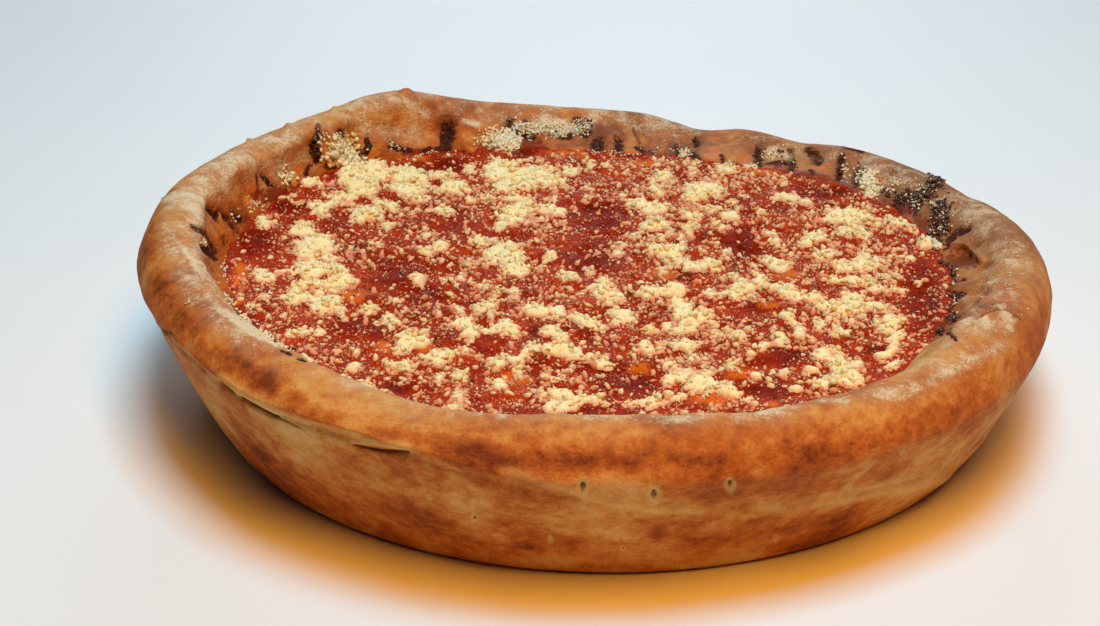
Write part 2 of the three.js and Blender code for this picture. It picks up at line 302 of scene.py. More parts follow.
turns = columnTurns()
section, zone = smoothRows(sections(turns), crust["rows"])
section, zone = section[:, 1:], zone[1:]  # the middle of the underside is one point, added with the faces
section[..., 1] = np.maximum(section[..., 1], 0)
base = toward(turns[:, None], section[..., 0], section[..., 1])
baseNormal = gridNormals(base)
turnAt = np.broadcast_to(turns[:, None], base.shape[:2])
zoneAt = np.broadcast_to(zone[None, :], base.shape[:2])
heightAt = base[..., 2]
seamAt = np.broadcast_to(aroundRim("seam", turns)[:, None], base.shape[:2])
crustSeen = inView(base)
inSight = ((eye - base) * baseNormal).sum(axis=-1) > 0
print("crust grid", base.shape)

# Burnt strokes: both ends and half width in pixels, and how deep it is sunk in mm.
charStrokes = [
    (210, 208, 224, 219, 3.6, 1.2), (225, 221, 231, 231, 1.6, 0.8), (231, 213, 240, 221, 3.2, 0.9),
    (191, 226, 206, 236, 2.2, 1.0), (207, 240, 219, 251, 3.0, 0.9), (204, 248, 217, 257, 4.2, 1.2),
    (221, 235, 227, 246, 2.2, 0.8), (256, 176, 259, 186, 2.2, 1.3), (264, 176, 272, 185, 2.8, 1.3),
    (311, 167, 306, 174, 3.2, 0.5), (318, 127, 319, 136, 3.6, 0.6), (320, 137, 314, 149, 2.8, 0.4),
    (315, 146, 320, 160, 5.0, 0.8), (327, 166, 336, 168, 2.2, 0.2), (340, 132, 344, 147, 3.4, 0.5),
    (367, 138, 367, 153, 3.0, 0.5), (354, 151, 363, 157, 3.6, 0.4), (391, 146, 409, 151, 3.2, 0.6),
    (448, 127, 446, 148, 7.4, 1.6), (444, 149, 424, 152, 4.2, 1.0), (510, 121, 512, 132, 4.2, 0.6),
    (514, 132, 533, 137, 3.4, 0.3), (524, 123, 546, 128, 3.0, 0.2), (548, 131, 570, 134, 4.4, 0.4),
    (577, 121, 587, 134, 5.6, 0.4), (486, 144, 496, 149, 2.6, 0.3), (598, 143, 597, 150, 6.6, 1.0),
    (619, 141, 619, 155, 4.8, 1.0), (637, 147, 652, 150, 3.2, 0.5), (676, 148, 681, 156, 3.6, 0.5),
    (695, 138, 697, 144, 3.4, 0.4), (694, 153, 696, 162, 4.4, 0.6), (721, 156, 723, 160, 2.0, 0.3),
    (758, 149, 759, 163, 5.0, 0.8), (769, 164, 785, 162, 2.4, 0.3), (791, 151, 792, 166, 4.0, 0.6),
    (809, 151, 819, 158, 5.2, 0.7), (810, 168, 812, 175, 2.8, 0.3), (844, 148, 864, 152, 2.2, 0.0),
    (841, 158, 839, 179, 4.0, 0.7), (859, 168, 856, 182, 5.4, 0.7), (885, 186, 888, 191, 3.4, 0.4),
    (937, 178, 927, 189, 8.2, -0.6), (921, 190, 914, 199, 7.8, -0.6), (905, 195, 897, 204, 7.4, -0.6),
    (919, 203, 915, 214, 2.8, 0.0), (941, 208, 937, 220, 8.6, -0.5), (943, 220, 935, 236, 8.0, -0.5),
    (936, 238, 938, 246, 4.4, 0.0), (967, 227, 953, 234, 3.2, 1.4), (953, 234, 945, 248, 3.8, 1.6),
    (948, 264, 951, 270, 3.4, 0.9), (945, 277, 953, 284, 4.6, 1.3), (955, 284, 967, 279, 2.4, 1.5),
    (940, 299, 952, 305, 5.0, 1.3), (953, 300, 964, 293, 2.2, 1.4), (947, 316, 956, 322, 4.6, 1.0),
    (950, 336, 956, 342, 2.4, 0.6), (281, 352, 290, 357, 1.8, 0.6), (297, 360, 305, 363, 1.6, 0.4),
    (233, 296, 235, 300, 1.4, 0.3), (237, 309, 242, 314, 2.2, 0.5),
]
# Slits and thin creases: both ends and half width in pixels, and depth in mm. Inside them the crust is also
# painted darker, as painted shade.
slitStrokes = [
    (222, 381, 234, 391, 1.3, 0.8), (243, 396, 256, 405, 1.9, 1.1), (256, 405, 278, 417, 2.1, 1.2),
    (278, 417, 300, 427, 1.0, 0.4), (353, 446, 380, 451, 1.7, 1.0), (380, 451, 408, 453, 1.8, 1.1),
    (158, 327, 171, 334, 1.6, 0.9), (985, 441, 1000, 425, 1.2, 1.2), (977, 323, 984, 317, 1.9, 2.0),
    (984, 317, 994, 312, 2.2, 2.3), (994, 312, 1004, 311, 2.2, 2.3), (1004, 311, 1014, 314, 2.1, 2.1),
    (1014, 314, 1023, 322, 1.8, 1.7), (633, 127, 640, 141, 2.2, 0.9), (268, 328, 283, 338, 1.0, 0.5),
]
# Ridges, lips and nubs: both ends and half width in pixels, and height in mm.
ridgeStrokes = [
    (943, 270, 946, 255, 2.3, 2.4), (946, 255, 954, 247, 2.3, 2.8), (954, 247, 966, 245, 2.3, 2.7),
    (966, 245, 980, 258, 2.3, 2.1), (945, 242, 962, 227, 3.4, 1.4), (975, 328, 990, 319, 2.8, 1.2),
    (990, 319, 1004, 316, 2.8, 1.2), (1004, 316, 1022, 327, 2.8, 1.0), (950, 293, 978, 283, 3.0, 1.4),
    (952, 310, 985, 300, 3.0, 1.2), (958, 330, 976, 322, 3.0, 1.0), (505, 471, 560, 486, 4.5, 0.5),
    (560, 486, 605, 500, 4.5, 0.6), (605, 500, 660, 510, 4.5, 0.7), (660, 510, 700, 513, 4.5, 0.6),
    (760, 511, 850, 500, 4.5, 0.5), (850, 500, 950, 478, 4.5, 0.5), (222, 376, 243, 391, 3.2, 0.6),
    (243, 391, 278, 411, 3.4, 0.8), (353, 440, 408, 446, 3.4, 0.7), (213, 230, 226, 246, 3.0, 0.8),
    (229, 222, 233, 240, 2.8, 0.7), (249, 139, 249, 141, 2.6, 1.3), (288, 126, 288, 128, 3.4, 1.3),
    (335, 110, 335, 112, 2.4, 1.2), (404, 92, 408, 92, 3.2, 1.4), (162, 196, 162, 198, 1.6, 1.2),
    (946, 290, 966, 286, 3.0, 0.9), (942, 312, 962, 306, 3.0, 0.9), (660, 128, 664, 146, 5.0, 0.9),
    (840, 503, 863, 491, 2.4, 0.35), (863, 491, 901, 481, 2.0, 0.3), (901, 481, 934, 470, 2.0, 0.3),
    (845, 490, 871, 467, 2.6, 0.35), (974, 438, 991, 415, 2.0, 0.4), (991, 415, 1011, 398, 2.0, 0.4),
]
# Pricked holes: across, down, width and height in pixels, and depth in mm. Inside them the crust is also
# painted darker, as painted shade.
holeSpots = [
    (583, 487, 5.8, 9, 1.9), (654, 495, 5.8, 9, 1.9), (731, 487, 5.2, 8, 1.8), (473, 503, 2.6, 4, 0.8),
    (475, 517, 3.6, 4, 0.5), (550, 539, 2.6, 4, 0.7), (617, 538, 2.6, 4, 0.6), (623, 550, 2.4, 3, 0.5),
    (777, 540, 2.6, 4, 0.7), (850, 490, 2.6, 4, 0.6), (905, 455, 2.4, 3, 0.5), (430, 497, 2.2, 3, 0.4),
]
# Glossy hollows where sauce and oil lie: ovals in pixels, and depth in mm.
pocketSpots = [(919, 224, 17, 24, 20, 1.3), (960, 258, 25, 16, 0, 1.5), (229, 278, 6, 10, 0, 0.6)]


def band(name):
    start, whole, fades, ends = bands[name]
    return ease(zoneAt, start, whole) * (1 - ease(zoneAt, fades, ends))


def onWall(turn, height):  # a place on the outside
    outside = np.where((zone > 2) & (zone < crust["crest"]))[0]
    column = int(np.searchsorted(turns, turn % 360)) % crust["columns"]
    return base[column, outside[np.argmin(np.abs(base[column, outside, 2] - height))]]


outOfReach = 9.0  # the distance that stands for no mark near


def strokeMarks(strokes):  # for each, the distance in its half widths and how deep it goes
    for *line, half, depth in strokes:
        away = np.where(inSight, lineAway(crustSeen, line) / half, outOfReach)
        yield away, depth * np.exp(-((away / 0.95) ** 2))


def pressed(away, depth):  # a round dent
    return away, depth * np.exp(-(away**2.5))


def ovalMarks(spots):
    for *oval, depth in spots:
        yield pressed(np.where(inSight, ovalAway(crustSeen, oval), outOfReach), depth)


def farHoles():
    draw = np.random.default_rng(5)
    for _ in range(crust["farHoles"]):
        spot = onWall(draw.uniform(15, 185), draw.uniform(10, 36))
        half, depth = draw.uniform(0.9, 1.4), draw.uniform(0.8, 2.2)
        yield pressed(np.linalg.norm((base - spot) * np.array([1, 1, 0.6]), axis=-1) / half, depth)


def together(*groupsOfMarks):  # distance to the nearest of them, and the depth of the deepest
    nearestAway, deep = np.full(base.shape[:2], outOfReach), np.zeros(base.shape[:2])
    for marks in groupsOfMarks:
        for away, here in marks:
            deep = np.where(np.abs(here) > np.abs(deep), here, deep)
            nearestAway = np.minimum(nearestAway, away)
    return nearestAway, deep


charAway, sunk = together(strokeMarks(charStrokes))
slitAway, slit = together(strokeMarks(slitStrokes))
ridgeAway, ridge = together(strokeMarks(ridgeStrokes))
holeAway, holes = together(ovalMarks(holeSpots), farHoles())
pocketAway, pocket = together(ovalMarks(pocketSpots))
wallPart = band("wall")

# Thumb folds run down the inner slope, most of all at the back and the sides.
foldPoints = toward(turnAt, 130, (section[..., 0] + heightAt) * 0.22)
folds = layered(foldPoints, 21, (1, 7.5), (0.5, 3.6))
handled = (1 - 0.85 * nearTurn(turnAt, frontTurn, 62)) * band("handled")
groove = np.exp(-((lumps(foldPoints, 8.5, 23) / 0.11) ** 2)) * handled * ease(lumps(base, 16, 24), -0.5, 0.2)
unevenness = [(1, 36), (0.5 - 0.2 * wallPart, 17), (0.26 - 0.12 * wallPart, 8), (0.12 - 0.05 * wallPart, 3.6)]
swell = layered(base, 2, *unevenness) + 1.6 * handled * folds - 1.15 * groove
swell += (1 - ease(charAway, 0.7, 1.3)) * 0.6 * lumps(base, 2.4, 6)
lifted = swell * ease(heightAt, 1, 9) + ridge - sunk - pocket
relief = lifted * (1 - ease(zoneAt, *crust["hidden"])) - holes - slit
crustPoints = base + baseNormal * relief[..., None]
crustPoints[..., 2] = np.maximum(crustPoints[..., 2], 0)
crustNormal = gridNormals(crustPoints)
print("crust relief", round(float(relief.min()), 2), round(float(relief.max()), 2))


def crustFaces(columns, rows):
    column, row = np.meshgrid(np.arange(columns), np.arange(rows - 1), indexing="ij")
    here, there = column * rows + row, (column + 1) % columns * rows + row
    quads = np.stack([here, there, there + 1, here + 1], axis=-1)
    under, floor = columns * rows, columns * rows + 1
    first = np.arange(columns) * rows
    second = np.roll(first, -1)
    last = rows - 1
    underFan = np.stack([np.full(columns, under), second, first], axis=-1)
    floorFan = np.stack([np.full(columns, floor), first + last, second + last], axis=-1)
    return quads.reshape(-1, 4).tolist() + underFan.tolist() + floorFan.tolist()


# Browner or, below zero, more golden places: ovals in pixels, and by how much.
bakedOvals = [
    (289, 149, 30, 30, 0, 0.1), (378, 126, 56, 34, 0, 0.1), (350, 120, 30, 20, 0, 0.06),
    (884, 202, 22, 22, 0, 0.4), (150, 250, 16, 26, 0, 0.2), (160, 286, 22, 26, 0, 0.3),
    (175, 300, 36, 40, 0, 0.15), (522, 547, 44, 18, 0, 0.34), (670, 535, 70, 24, 0, 0.34),
    (580, 541, 50, 14, 0, 0.28), (270, 470, 120, 60, -35, 0.24), (740, 540, 60, 20, 0, 0.2),
    (430, 520, 80, 30, -10, 0.2), (620, 462, 260, 20, 0, 0.26), (420, 440, 150, 18, -12, 0.22),
    (790, 455, 160, 18, 8, 0.2), (270, 385, 100, 26, -35, 0.5), (960, 410, 60, 30, 40, 0.2),
    (880, 480, 70, 26, 20, 0.14), (1040, 300, 14, 60, 0, 0.2), (600, 130, 60, 14, 0, 0.2),
    (720, 145, 90, 18, 0, 0.28), (430, 105, 40, 12, 0, 0.12), (560, 112, 280, 14, 0, 0.12),
    (400, 99, 110, 18, 0, 0.22), (550, 455, 150, 24, 0, 0.14), (560, 425, 120, 14, 0, 0.12),
    (750, 455, 120, 34, 0, -0.28), (840, 412, 100, 30, 0, -0.32), (300, 440, 100, 24, -32, -0.16),
    (480, 500, 90, 36, 0, -0.2), (700, 512, 130, 12, 0, -0.2), (850, 497, 130, 16, 8, -0.24),
    (560, 562, 340, 14, 0, -0.16), (475, 517, 30, 26, 0, -0.3), (225, 372, 60, 14, -40, -0.16),
    (760, 560, 160, 12, 8, -0.14), (340, 520, 120, 16, -20, -0.1), (176, 230, 26, 60, -35, -0.12),
    (1000, 290, 40, 70, 0, -0.06), (985, 370, 50, 24, 35, -0.1), (500, 410, 200, 10, 0, -0.08),
    (200, 420, 30, 60, -35, -0.14),
]
# Dusty flour: both ends and half width in pixels, and strength.
flourStrokes = [
    (199, 287, 216, 306, 5, 0.8), (216, 306, 238, 322, 7.5, 1.0), (238, 322, 262, 336, 8, 1.0),
    (262, 336, 286, 349, 6.5, 0.95), (286, 349, 312, 364, 3, 0.7), (166, 226, 186, 252, 5, 0.9),
    (186, 252, 203, 278, 5, 0.85), (203, 278, 214, 292, 4, 0.7), (164, 199, 190, 194, 6, 0.9),
    (235, 166, 234, 173, 4, 0.9), (207, 241, 203, 243, 2.2, 1.0), (188, 300, 192, 308, 3.5, 0.6),
    (350, 116, 344, 128, 4, 0.6), (392, 98, 422, 112, 11, 0.9), (463, 122, 478, 124, 4, 0.8),
    (335, 126, 336, 132, 3, 0.8), (300, 375, 450, 408, 7, 0.5), (450, 414, 700, 418, 8, 0.6),
    (700, 418, 900, 390, 10, 0.7), (900, 395, 1000, 345, 9, 0.7), (1001, 262, 1008, 285, 6, 0.6),
    (1008, 285, 1018, 312, 5, 0.7), (975, 335, 1010, 330, 5, 0.5), (938, 185, 962, 194, 4, 0.5),
    (1035, 250, 1048, 290, 6, 0.3), (560, 112, 640, 118, 5, 0.5), (700, 135, 760, 137, 4, 0.6),
    (515, 124, 560, 130, 6, 1.0), (560, 129, 590, 124, 6, 1.0), (200, 180, 225, 165, 6, 0.4),
    (255, 165, 300, 165, 20, 0.7), (365, 128, 415, 132, 16, 0.6), (893, 172, 899, 176, 4, 0.6),
    (767, 150, 790, 156, 7, 0.9), (966, 285, 985, 268, 2, 0.5), (960, 300, 985, 296, 2.2, 0.4),
    (684, 152, 682, 160, 3, 0.7), (640, 140, 655, 122, 3, 0.3), (900, 205, 935, 185, 8, 0.5),
    (940, 205, 938, 240, 8, 0.5), (770, 150, 830, 156, 7, 0.4), (935, 165, 960, 185, 6, 0.7),
    (310, 135, 316, 165, 6, 0.35), (955, 195, 1010, 235, 9, 0.45), (225, 165, 262, 140, 10, 0.5),
    (480, 118, 600, 122, 8, 0.5), (990, 270, 1008, 326, 11, 0.75), (965, 300, 990, 330, 8, 0.55),
    (945, 348, 1000, 322, 7, 0.65), (980, 235, 998, 262, 8, 0.4), (545, 120, 590, 128, 8, 0.9),
    (918, 192, 938, 184, 5, 0.7), (904, 202, 915, 198, 4, 0.5),
]
# Sauce lapped up the slope, and orange melted cheese, as ovals in pixels.
stainOvals = [
    (280, 196, 54, 22), (528, 150, 40, 16), (560, 158, 34, 14), (795, 173, 84, 12, -6),
    (815, 190, 70, 18, -12), (410, 152, 30, 8), (455, 157, 40, 10), (905, 212, 26, 22), (886, 205, 18, 16),
    (945, 310, 12, 60), (232, 228, 10, 20), (640, 158, 60, 6), (700, 165, 30, 6),
]
meltOvals = [
    (229, 250, 11, 40, 10), (252, 192, 14, 26), (579, 153, 34, 14), (400, 157, 16, 5), (457, 144, 9, 18),
    (500, 154, 20, 8), (766, 168, 30, 10), (820, 168, 24, 12), (712, 156, 22, 14), (745, 158, 12, 16),
    (225, 285, 8, 26, -20), (640, 152, 34, 8), (870, 200, 12, 16), (905, 225, 14, 14), (295, 170, 26, 8),
    (345, 170, 30, 6),
]
# Cheese on the inner slope: across, down and spread both ways in pixels, how many, and the pile in mm.
rimCheese = [
    (344, 151, 11, 8, 680, 1.7), (352, 162, 13, 5, 200, 1.4), (322, 139, 3, 6, 34, 0.3),
    (340, 136, 4, 5, 34, 0.4), (506, 142, 10, 8, 480, 1.3), (528, 129, 15, 6, 150, 0.5),
    (556, 128, 16, 7, 120, 0.3), (578, 127, 11, 6, 110, 0.3), (487, 138, 9, 6, 80, 0.8),
    (684, 156, 5, 7, 60, 0.6), (735, 168, 14, 3, 110, 0.8), (775, 155, 11, 4, 50, 0.3),
    (869, 183, 6, 9, 320, 1.3), (845, 170, 3, 9, 26, 0.3), (857, 175, 4, 6, 22, 0.3),
    (888, 188, 5, 4, 14, 0.3), (925, 186, 8, 6, 40, 0.1), (912, 200, 9, 7, 50, 0.1),
    (938, 203, 7, 7, 50, 0.1), (943, 216, 6, 8, 40, 0.1), (936, 230, 6, 8, 26, 0.1),
    (933, 246, 6, 4, 80, 1.0), (896, 178, 4.5, 3.5, 24, 0.2), (205, 243, 3, 2, 16, 0.2),
    (232, 215, 5, 4, 12, 0.3), (396, 146, 8, 4, 18, 0.2), (288, 176, 6, 5, 70, 1.0),
    (238, 296, 7, 9, 46, 0.4), (248, 320, 9, 5, 50, 0.4), (276, 336, 12, 6, 70, 0.4),
    (291, 347, 8, 4, 40, 0.4), (951, 278, 5, 6, 14, 0.2), (953, 303, 6, 6, 14, 0.2),
    (226, 268, 5, 10, 30, 0.3), (252, 206, 8, 5, 26, 0.3), (190, 304, 4, 4, 8, 0.1),
    (1010, 285, 16, 30, 26, 0.0), (650, 150, 24, 4, 30, 0.1), (600, 158, 20, 3, 24, 0.2),
    (440, 158, 20, 3, 20, 0.2),
]
# Burnt crumbs of sauce and cheese, in the same way.
rimBurnt = [
    (936, 182, 7, 6, 60, 0.3), (922, 193, 9, 7, 70, 0.4), (902, 200, 8, 7, 55, 0.3),
    (941, 211, 8, 8, 75, 0.4), (938, 228, 7, 9, 60, 0.4), (937, 243, 4, 4, 12, 0.2),
    (888, 188, 5, 4, 14, 0.3), (840, 168, 3, 11, 18, 0.2), (857, 175, 4, 7, 18, 0.2),
    (318, 131, 3, 5, 8, 0.2), (318, 153, 5, 7, 20, 0.2), (341, 140, 4, 6, 12, 0.2),
    (364, 148, 4, 7, 14, 0.3), (535, 131, 20, 5, 24, 0.2), (582, 128, 8, 6, 16, 0.2),
    (778, 152, 13, 3, 10, 0.1), (950, 268, 7, 4, 34, 0.5), (949, 281, 5, 6, 40, 0.5),
    (957, 296, 6, 3, 20, 0.4), (946, 303, 6, 5, 36, 0.5), (951, 321, 7, 4, 36, 0.5),
    (941, 335, 6, 3, 26, 0.4), (282, 339, 8, 3, 14, 0.2), (290, 350, 6, 3, 10, 0.2),
    (512, 127, 4, 6, 26, 0.4), (597, 147, 5, 5, 14, 0.2),
]


# browning of the crust, and painted shade in the thumb grooves
def bakeAndShadeMask():  # 0 pale, 1 deep brown
    streaky = base * np.array([1, 1, 1.8])
    bakeAndShade = 0.45 + 0.2 * lumps(base, 30, 31) + layered(streaky, 32, (0.16, 13), (0.1, 6))
    bakeAndShade += 0.1 * np.exp(-(((zoneAt - 9.3) / 1.2) ** 2)) + 0.04 * (zoneAt < 8)
    bakeAndShade += 0.05 * ease(zoneAt, 12.6, 14.4) * (1 - nearTurn(turnAt, frontTurn, 50))
    bakeAndShade += 0.1 * ease(zoneAt, 14.5, 16)
    bakeAndShade += 0.26 * np.exp(-(((zoneAt - 12) / 1.8) ** 2)) * nearTurn(turnAt, 40, 75)
    # painted shade: the thumb grooves are painted browner, as shade in them; near the burnt strokes it is
    # browning
    bakeAndShade += 0.22 * np.exp(-((charAway / 2.3) ** 2)) * band("inner") + 0.16 * groove
    blotchy = inSight * (0.8 + 0.6 * lumps(base, 4, 34))
    for *oval, amount in bakedOvals:
        bakeAndShade += amount * np.exp(-(ovalAway(crustSeen, oval) ** 2)) * blotchy
    return np.clip(bakeAndShade, 0, 1)


def flourMask():
    flour = band("flour") * (0.5 - 0.3 * nearTurn(turnAt, frontTurn, 60))
    flour += 0.2 * band("flourLeft") * nearTurn(turnAt, 188, 42)
    flour += 0.14 * band("flourRight") * nearTurn(turnAt, 8, 48)
    for *line, half, amount in flourStrokes:
        flour = np.maximum(flour, inSight * amount * np.exp(-((lineAway(crustSeen, line) / half) ** 2)))
    streaks = 0.85 + 0.45 * lumps(base * np.array([1, 1, 2.2]), 9, 41) + 0.45 * lumps(base, 3.4, 42)
    return np.clip(flour * streaks, 0, 1)


def dullMask():  # greyer, less golden crust
    return np.clip(band("dull") * nearTurn(turnAt, 22, 52) * (0.95 + 0.3 * lumps(base, 12, 51)), 0, 1)


def paleMask():  # stretched, unbrowned dough along the fold and the lips
    line = np.exp(-(((heightAt - seamAt - 1.3) / 1.3) ** 2)) * (zoneAt < 9.5) * (zoneAt > 4)
    line *= swellings([(226, 14, 0.6), (206, 10, 0.5), (303, 14, 0.3)], turnAt)
    lips = np.exp(-(ridgeAway**2)) * wallPart
    return np.clip(line * (0.8 + 0.3 * lumps(base, 5, 53)) + lips * (0.64 + 0.48 * lumps(base, 5, 54)), 0, 1)


def ovalNear(ovals, wobble):  # 1 in the ovals, 0.5 at their outlines
    away = nearest(crustSeen, ovals) + wobble * layered(base, 61, (1, 4.5), (0.5, 2))
    return inSight * nearness(away, 2) * ease(zoneAt, 12.5, 13.5)


def farEdge(at, amount):  # sauce and melted cheese along the part of the filling's edge that the view hides
    along = ease(zoneAt, 14.8, 15.9) * nearTurn(turnAt, at, 70) * ~inSight
    return amount * along * (0.7 + 0.9 * lumps(base, 5, 63))


def filmOfCheese():  # cheese stuck to the crust under its crumbs
    film = np.zeros(inSight.shape)
    for x, y, wide, tall, _, pile in rimCheese:
        away = ((crustSeen[0] - x) / wide) ** 2 + ((crustSeen[1] - y) / tall) ** 2
        film = np.maximum(film, min(1, 0.32 + 0.45 * pile) * np.exp(-0.7 * away))
    return inSight * film


def makeCrust():
    ends = np.array([[0, 0, 0], [0, 0, dough["floor"]]])
    points = np.concatenate([crustPoints.reshape(-1, 3), ends])
    piece = newMesh("baked_crust", points, crustFaces(*crustPoints.shape[:2]))
    marks = {
        "bakeAndShade": bakeAndShadeMask(), "flour": flourMask(), "pale": paleMask(), "dull": dullMask(),
        "film": filmOfCheese(),
        "melt": np.maximum(ovalNear(meltOvals, 0.5), farEdge(285, 0.5)),
        "stain": np.maximum(ovalNear(stainOvals, 0.45), farEdge(250, 0.6)),
        # slit and hole also carry painted shade: the material darkens the crust inside slits and pricked
        # holes
        "char": nearness(charAway, 2), "slit": nearness(slitAway, 3),
        "hole": nearness(holeAway, 4), "pocket": nearness(pocketAway, 2),
    }
    for name, values in marks.items():
        paint(piece, name, np.concatenate([values.ravel(), [0, 0]]))
    return piece


# ---- grated cheese, where it lies
# Heaps of grated cheese: middle, width, height and, in degrees, tilt, all as seen in the view's pixels.
cheesePatches = [
    (352, 170, 44, 22), (378, 168, 36, 18), (362, 184, 42, 18), (368, 190, 18, 14), (345, 194, 34, 12),
    (403, 173, 48, 14), (407, 185, 62, 9), (441, 173, 28, 9), (452, 184, 30, 11), (417, 195, 24, 6),
    (318, 207, 28, 16, -20), (332, 200, 18, 9), (310, 181, 22, 9), (289, 178, 12, 9), (372, 213, 36, 16),
    (388, 203, 24, 10), (440, 208, 25, 8), (304, 226, 30, 16), (318, 240, 34, 18), (308, 249, 24, 10),
    (330, 254, 20, 8), (264, 221, 15, 12), (427, 231, 10, 7), (427, 251, 18, 8), (440, 245, 16, 8, 20),
    (379, 243, 10, 13), (312, 265, 46, 15), (333, 269, 22, 18), (344, 278, 28, 12), (318, 282, 40, 10),
    (263, 272, 24, 10, -20), (285, 269, 20, 8), (294, 292, 24, 18), (325, 301, 33, 23), (334, 290, 18, 12),
    (265, 297, 14, 12), (252, 306, 8, 11), (420, 279, 18, 9, -30), (460, 273, 10, 7), (468, 262, 12, 10),
    (471, 197, 18, 6), (470, 166, 14, 10), (366, 306, 18, 9), (390, 315, 20, 10, -25),
    (438, 312, 15, 7, -15), (459, 308, 13, 8), (464, 320, 34, 7, 10), (470, 334, 22, 20),
    (410, 336, 34, 18), (401, 347, 18, 9), (441, 355, 30, 12), (466, 348, 14, 9), (402, 362, 36, 8),
    (432, 362, 30, 8), (438, 374, 14, 12), (460, 371, 18, 14), (355, 364, 13, 8), (345, 376, 11, 6),
    (366, 384, 15, 8, -10), (311, 358, 13, 7, -25), (460, 391, 12, 9), (453, 405, 14, 6), (355, 349, 8, 6),
    (319, 327, 11, 8, 30), (290, 330, 14, 6, -15), (305, 331, 18, 5), (341, 316, 14, 5, -15),
    (378, 318, 7, 11), (387, 273, 8, 5), (396, 296, 22, 3), (502, 168, 38, 20), (516, 172, 46, 9),
    (509, 183, 34, 18), (541, 177, 42, 13), (545, 165, 42, 8), (569, 168, 22, 8), (488, 197, 22, 7),
    (520, 197, 30, 6), (518, 208, 30, 14), (550, 208, 38, 10), (514, 217, 50, 7, -8), (500, 223, 18, 8),
    (587, 196, 10, 6), (643, 202, 56, 13, -8), (656, 188, 32, 10, -15), (699, 191, 36, 16),
    (688, 213, 24, 7, -15), (664, 173, 18, 10), (655, 222, 28, 13), (640, 231, 18, 9), (661, 233, 14, 8),
    (690, 226, 15, 11), (485, 238, 26, 8), (503, 253, 38, 18), (516, 268, 28, 15), (551, 252, 14, 13),
    (570, 272, 19, 11), (591, 269, 9, 9), (482, 281, 28, 8), (513, 290, 15, 12), (493, 292, 12, 5),
    (620, 242, 12, 6), (618, 251, 9, 8), (655, 246, 24, 8, -20), (673, 250, 28, 14), (690, 265, 38, 9, -15),
    (713, 262, 24, 12), (600, 286, 20, 13), (616, 292, 18, 8, -20), (650, 291, 28, 11, -10),
    (672, 289, 28, 15), (681, 302, 28, 12), (688, 314, 42, 14), (683, 325, 36, 12), (706, 311, 14, 12),
    (549, 310, 42, 16, -15), (585, 318, 40, 10, -15), (623, 313, 26, 14), (608, 300, 11, 6),
    (509, 325, 26, 15), (484, 330, 38, 9, 12), (487, 305, 22, 13), (492, 315, 11, 9), (552, 329, 20, 6),
    (562, 334, 17, 11), (561, 347, 42, 12), (578, 352, 38, 11, -18), (530, 348, 24, 12),
    (600, 360, 22, 8, -10), (516, 356, 20, 8, -10), (495, 360, 18, 8, -20), (520, 368, 14, 12),
    (548, 374, 18, 8), (564, 370, 13, 8), (499, 381, 18, 12), (580, 384, 13, 9), (560, 391, 40, 9, -12),
    (564, 402, 36, 11), (549, 408, 22, 7), (592, 395, 16, 8), (630, 401, 22, 5), (655, 398, 32, 9, 5),
    (683, 393, 32, 5, 15), (645, 343, 24, 10, -35), (650, 325, 17, 7), (681, 343, 28, 10, -15),
    (692, 353, 12, 8, -30), (706, 355, 9, 8), (613, 334, 9, 5), (598, 338, 7, 5), (675, 375, 38, 8, 10),
    (706, 384, 42, 14), (711, 372, 26, 5), (670, 363, 16, 6), (712, 189, 26, 18), (729, 214, 17, 8),
    (712, 205, 22, 8), (722, 225, 20, 4), (772, 230, 24, 4, -20), (783, 194, 28, 8, -15),
    (807, 200, 14, 7, -20), (760, 208, 12, 5), (842, 212, 62, 12), (862, 217, 46, 10),
    (897, 220, 28, 10, -10), (812, 237, 30, 13), (846, 232, 44, 11), (821, 252, 28, 12), (863, 252, 18, 10),
    (905, 256, 22, 7), (926, 241, 18, 12, -30), (914, 230, 12, 9), (852, 264, 64, 12), (847, 276, 66, 8),
    (727, 248, 8, 12), (768, 258, 24, 8, -15), (783, 262, 12, 6), (736, 275, 32, 7, -10), (763, 277, 18, 7),
    (772, 284, 54, 9, -10), (740, 284, 26, 8), (790, 291, 34, 10, -15), (815, 296, 44, 8),
    (852, 299, 28, 22), (835, 306, 36, 14), (880, 304, 32, 10), (888, 322, 28, 12), (895, 332, 22, 12),
    (893, 346, 15, 14), (885, 352, 20, 8), (792, 318, 24, 9, -20), (798, 328, 13, 15),
    (781, 336, 32, 8, 12), (762, 345, 20, 8, 40), (752, 352, 11, 6), (737, 332, 15, 13), (715, 331, 11, 15),
    (733, 364, 14, 9), (758, 371, 18, 7, -25), (822, 350, 20, 13), (838, 360, 22, 18), (842, 373, 26, 18),
    (826, 380, 26, 10), (858, 378, 18, 9), (858, 360, 18, 11), (810, 365, 15, 7), (795, 385, 18, 8, -30),
    (785, 367, 10, 7), (725, 386, 30, 14, -15), (748, 395, 9, 6), (932, 342, 24, 6, 10),
    (894, 363, 20, 8, 15), (820, 321, 13, 15), (862, 315, 13, 8), (840, 330, 26, 8), (805, 315, 8, 6),
    (883, 286, 40, 7), (738, 292, 30, 10), (712, 290, 16, 9), (730, 167, 34, 8, -5),
]
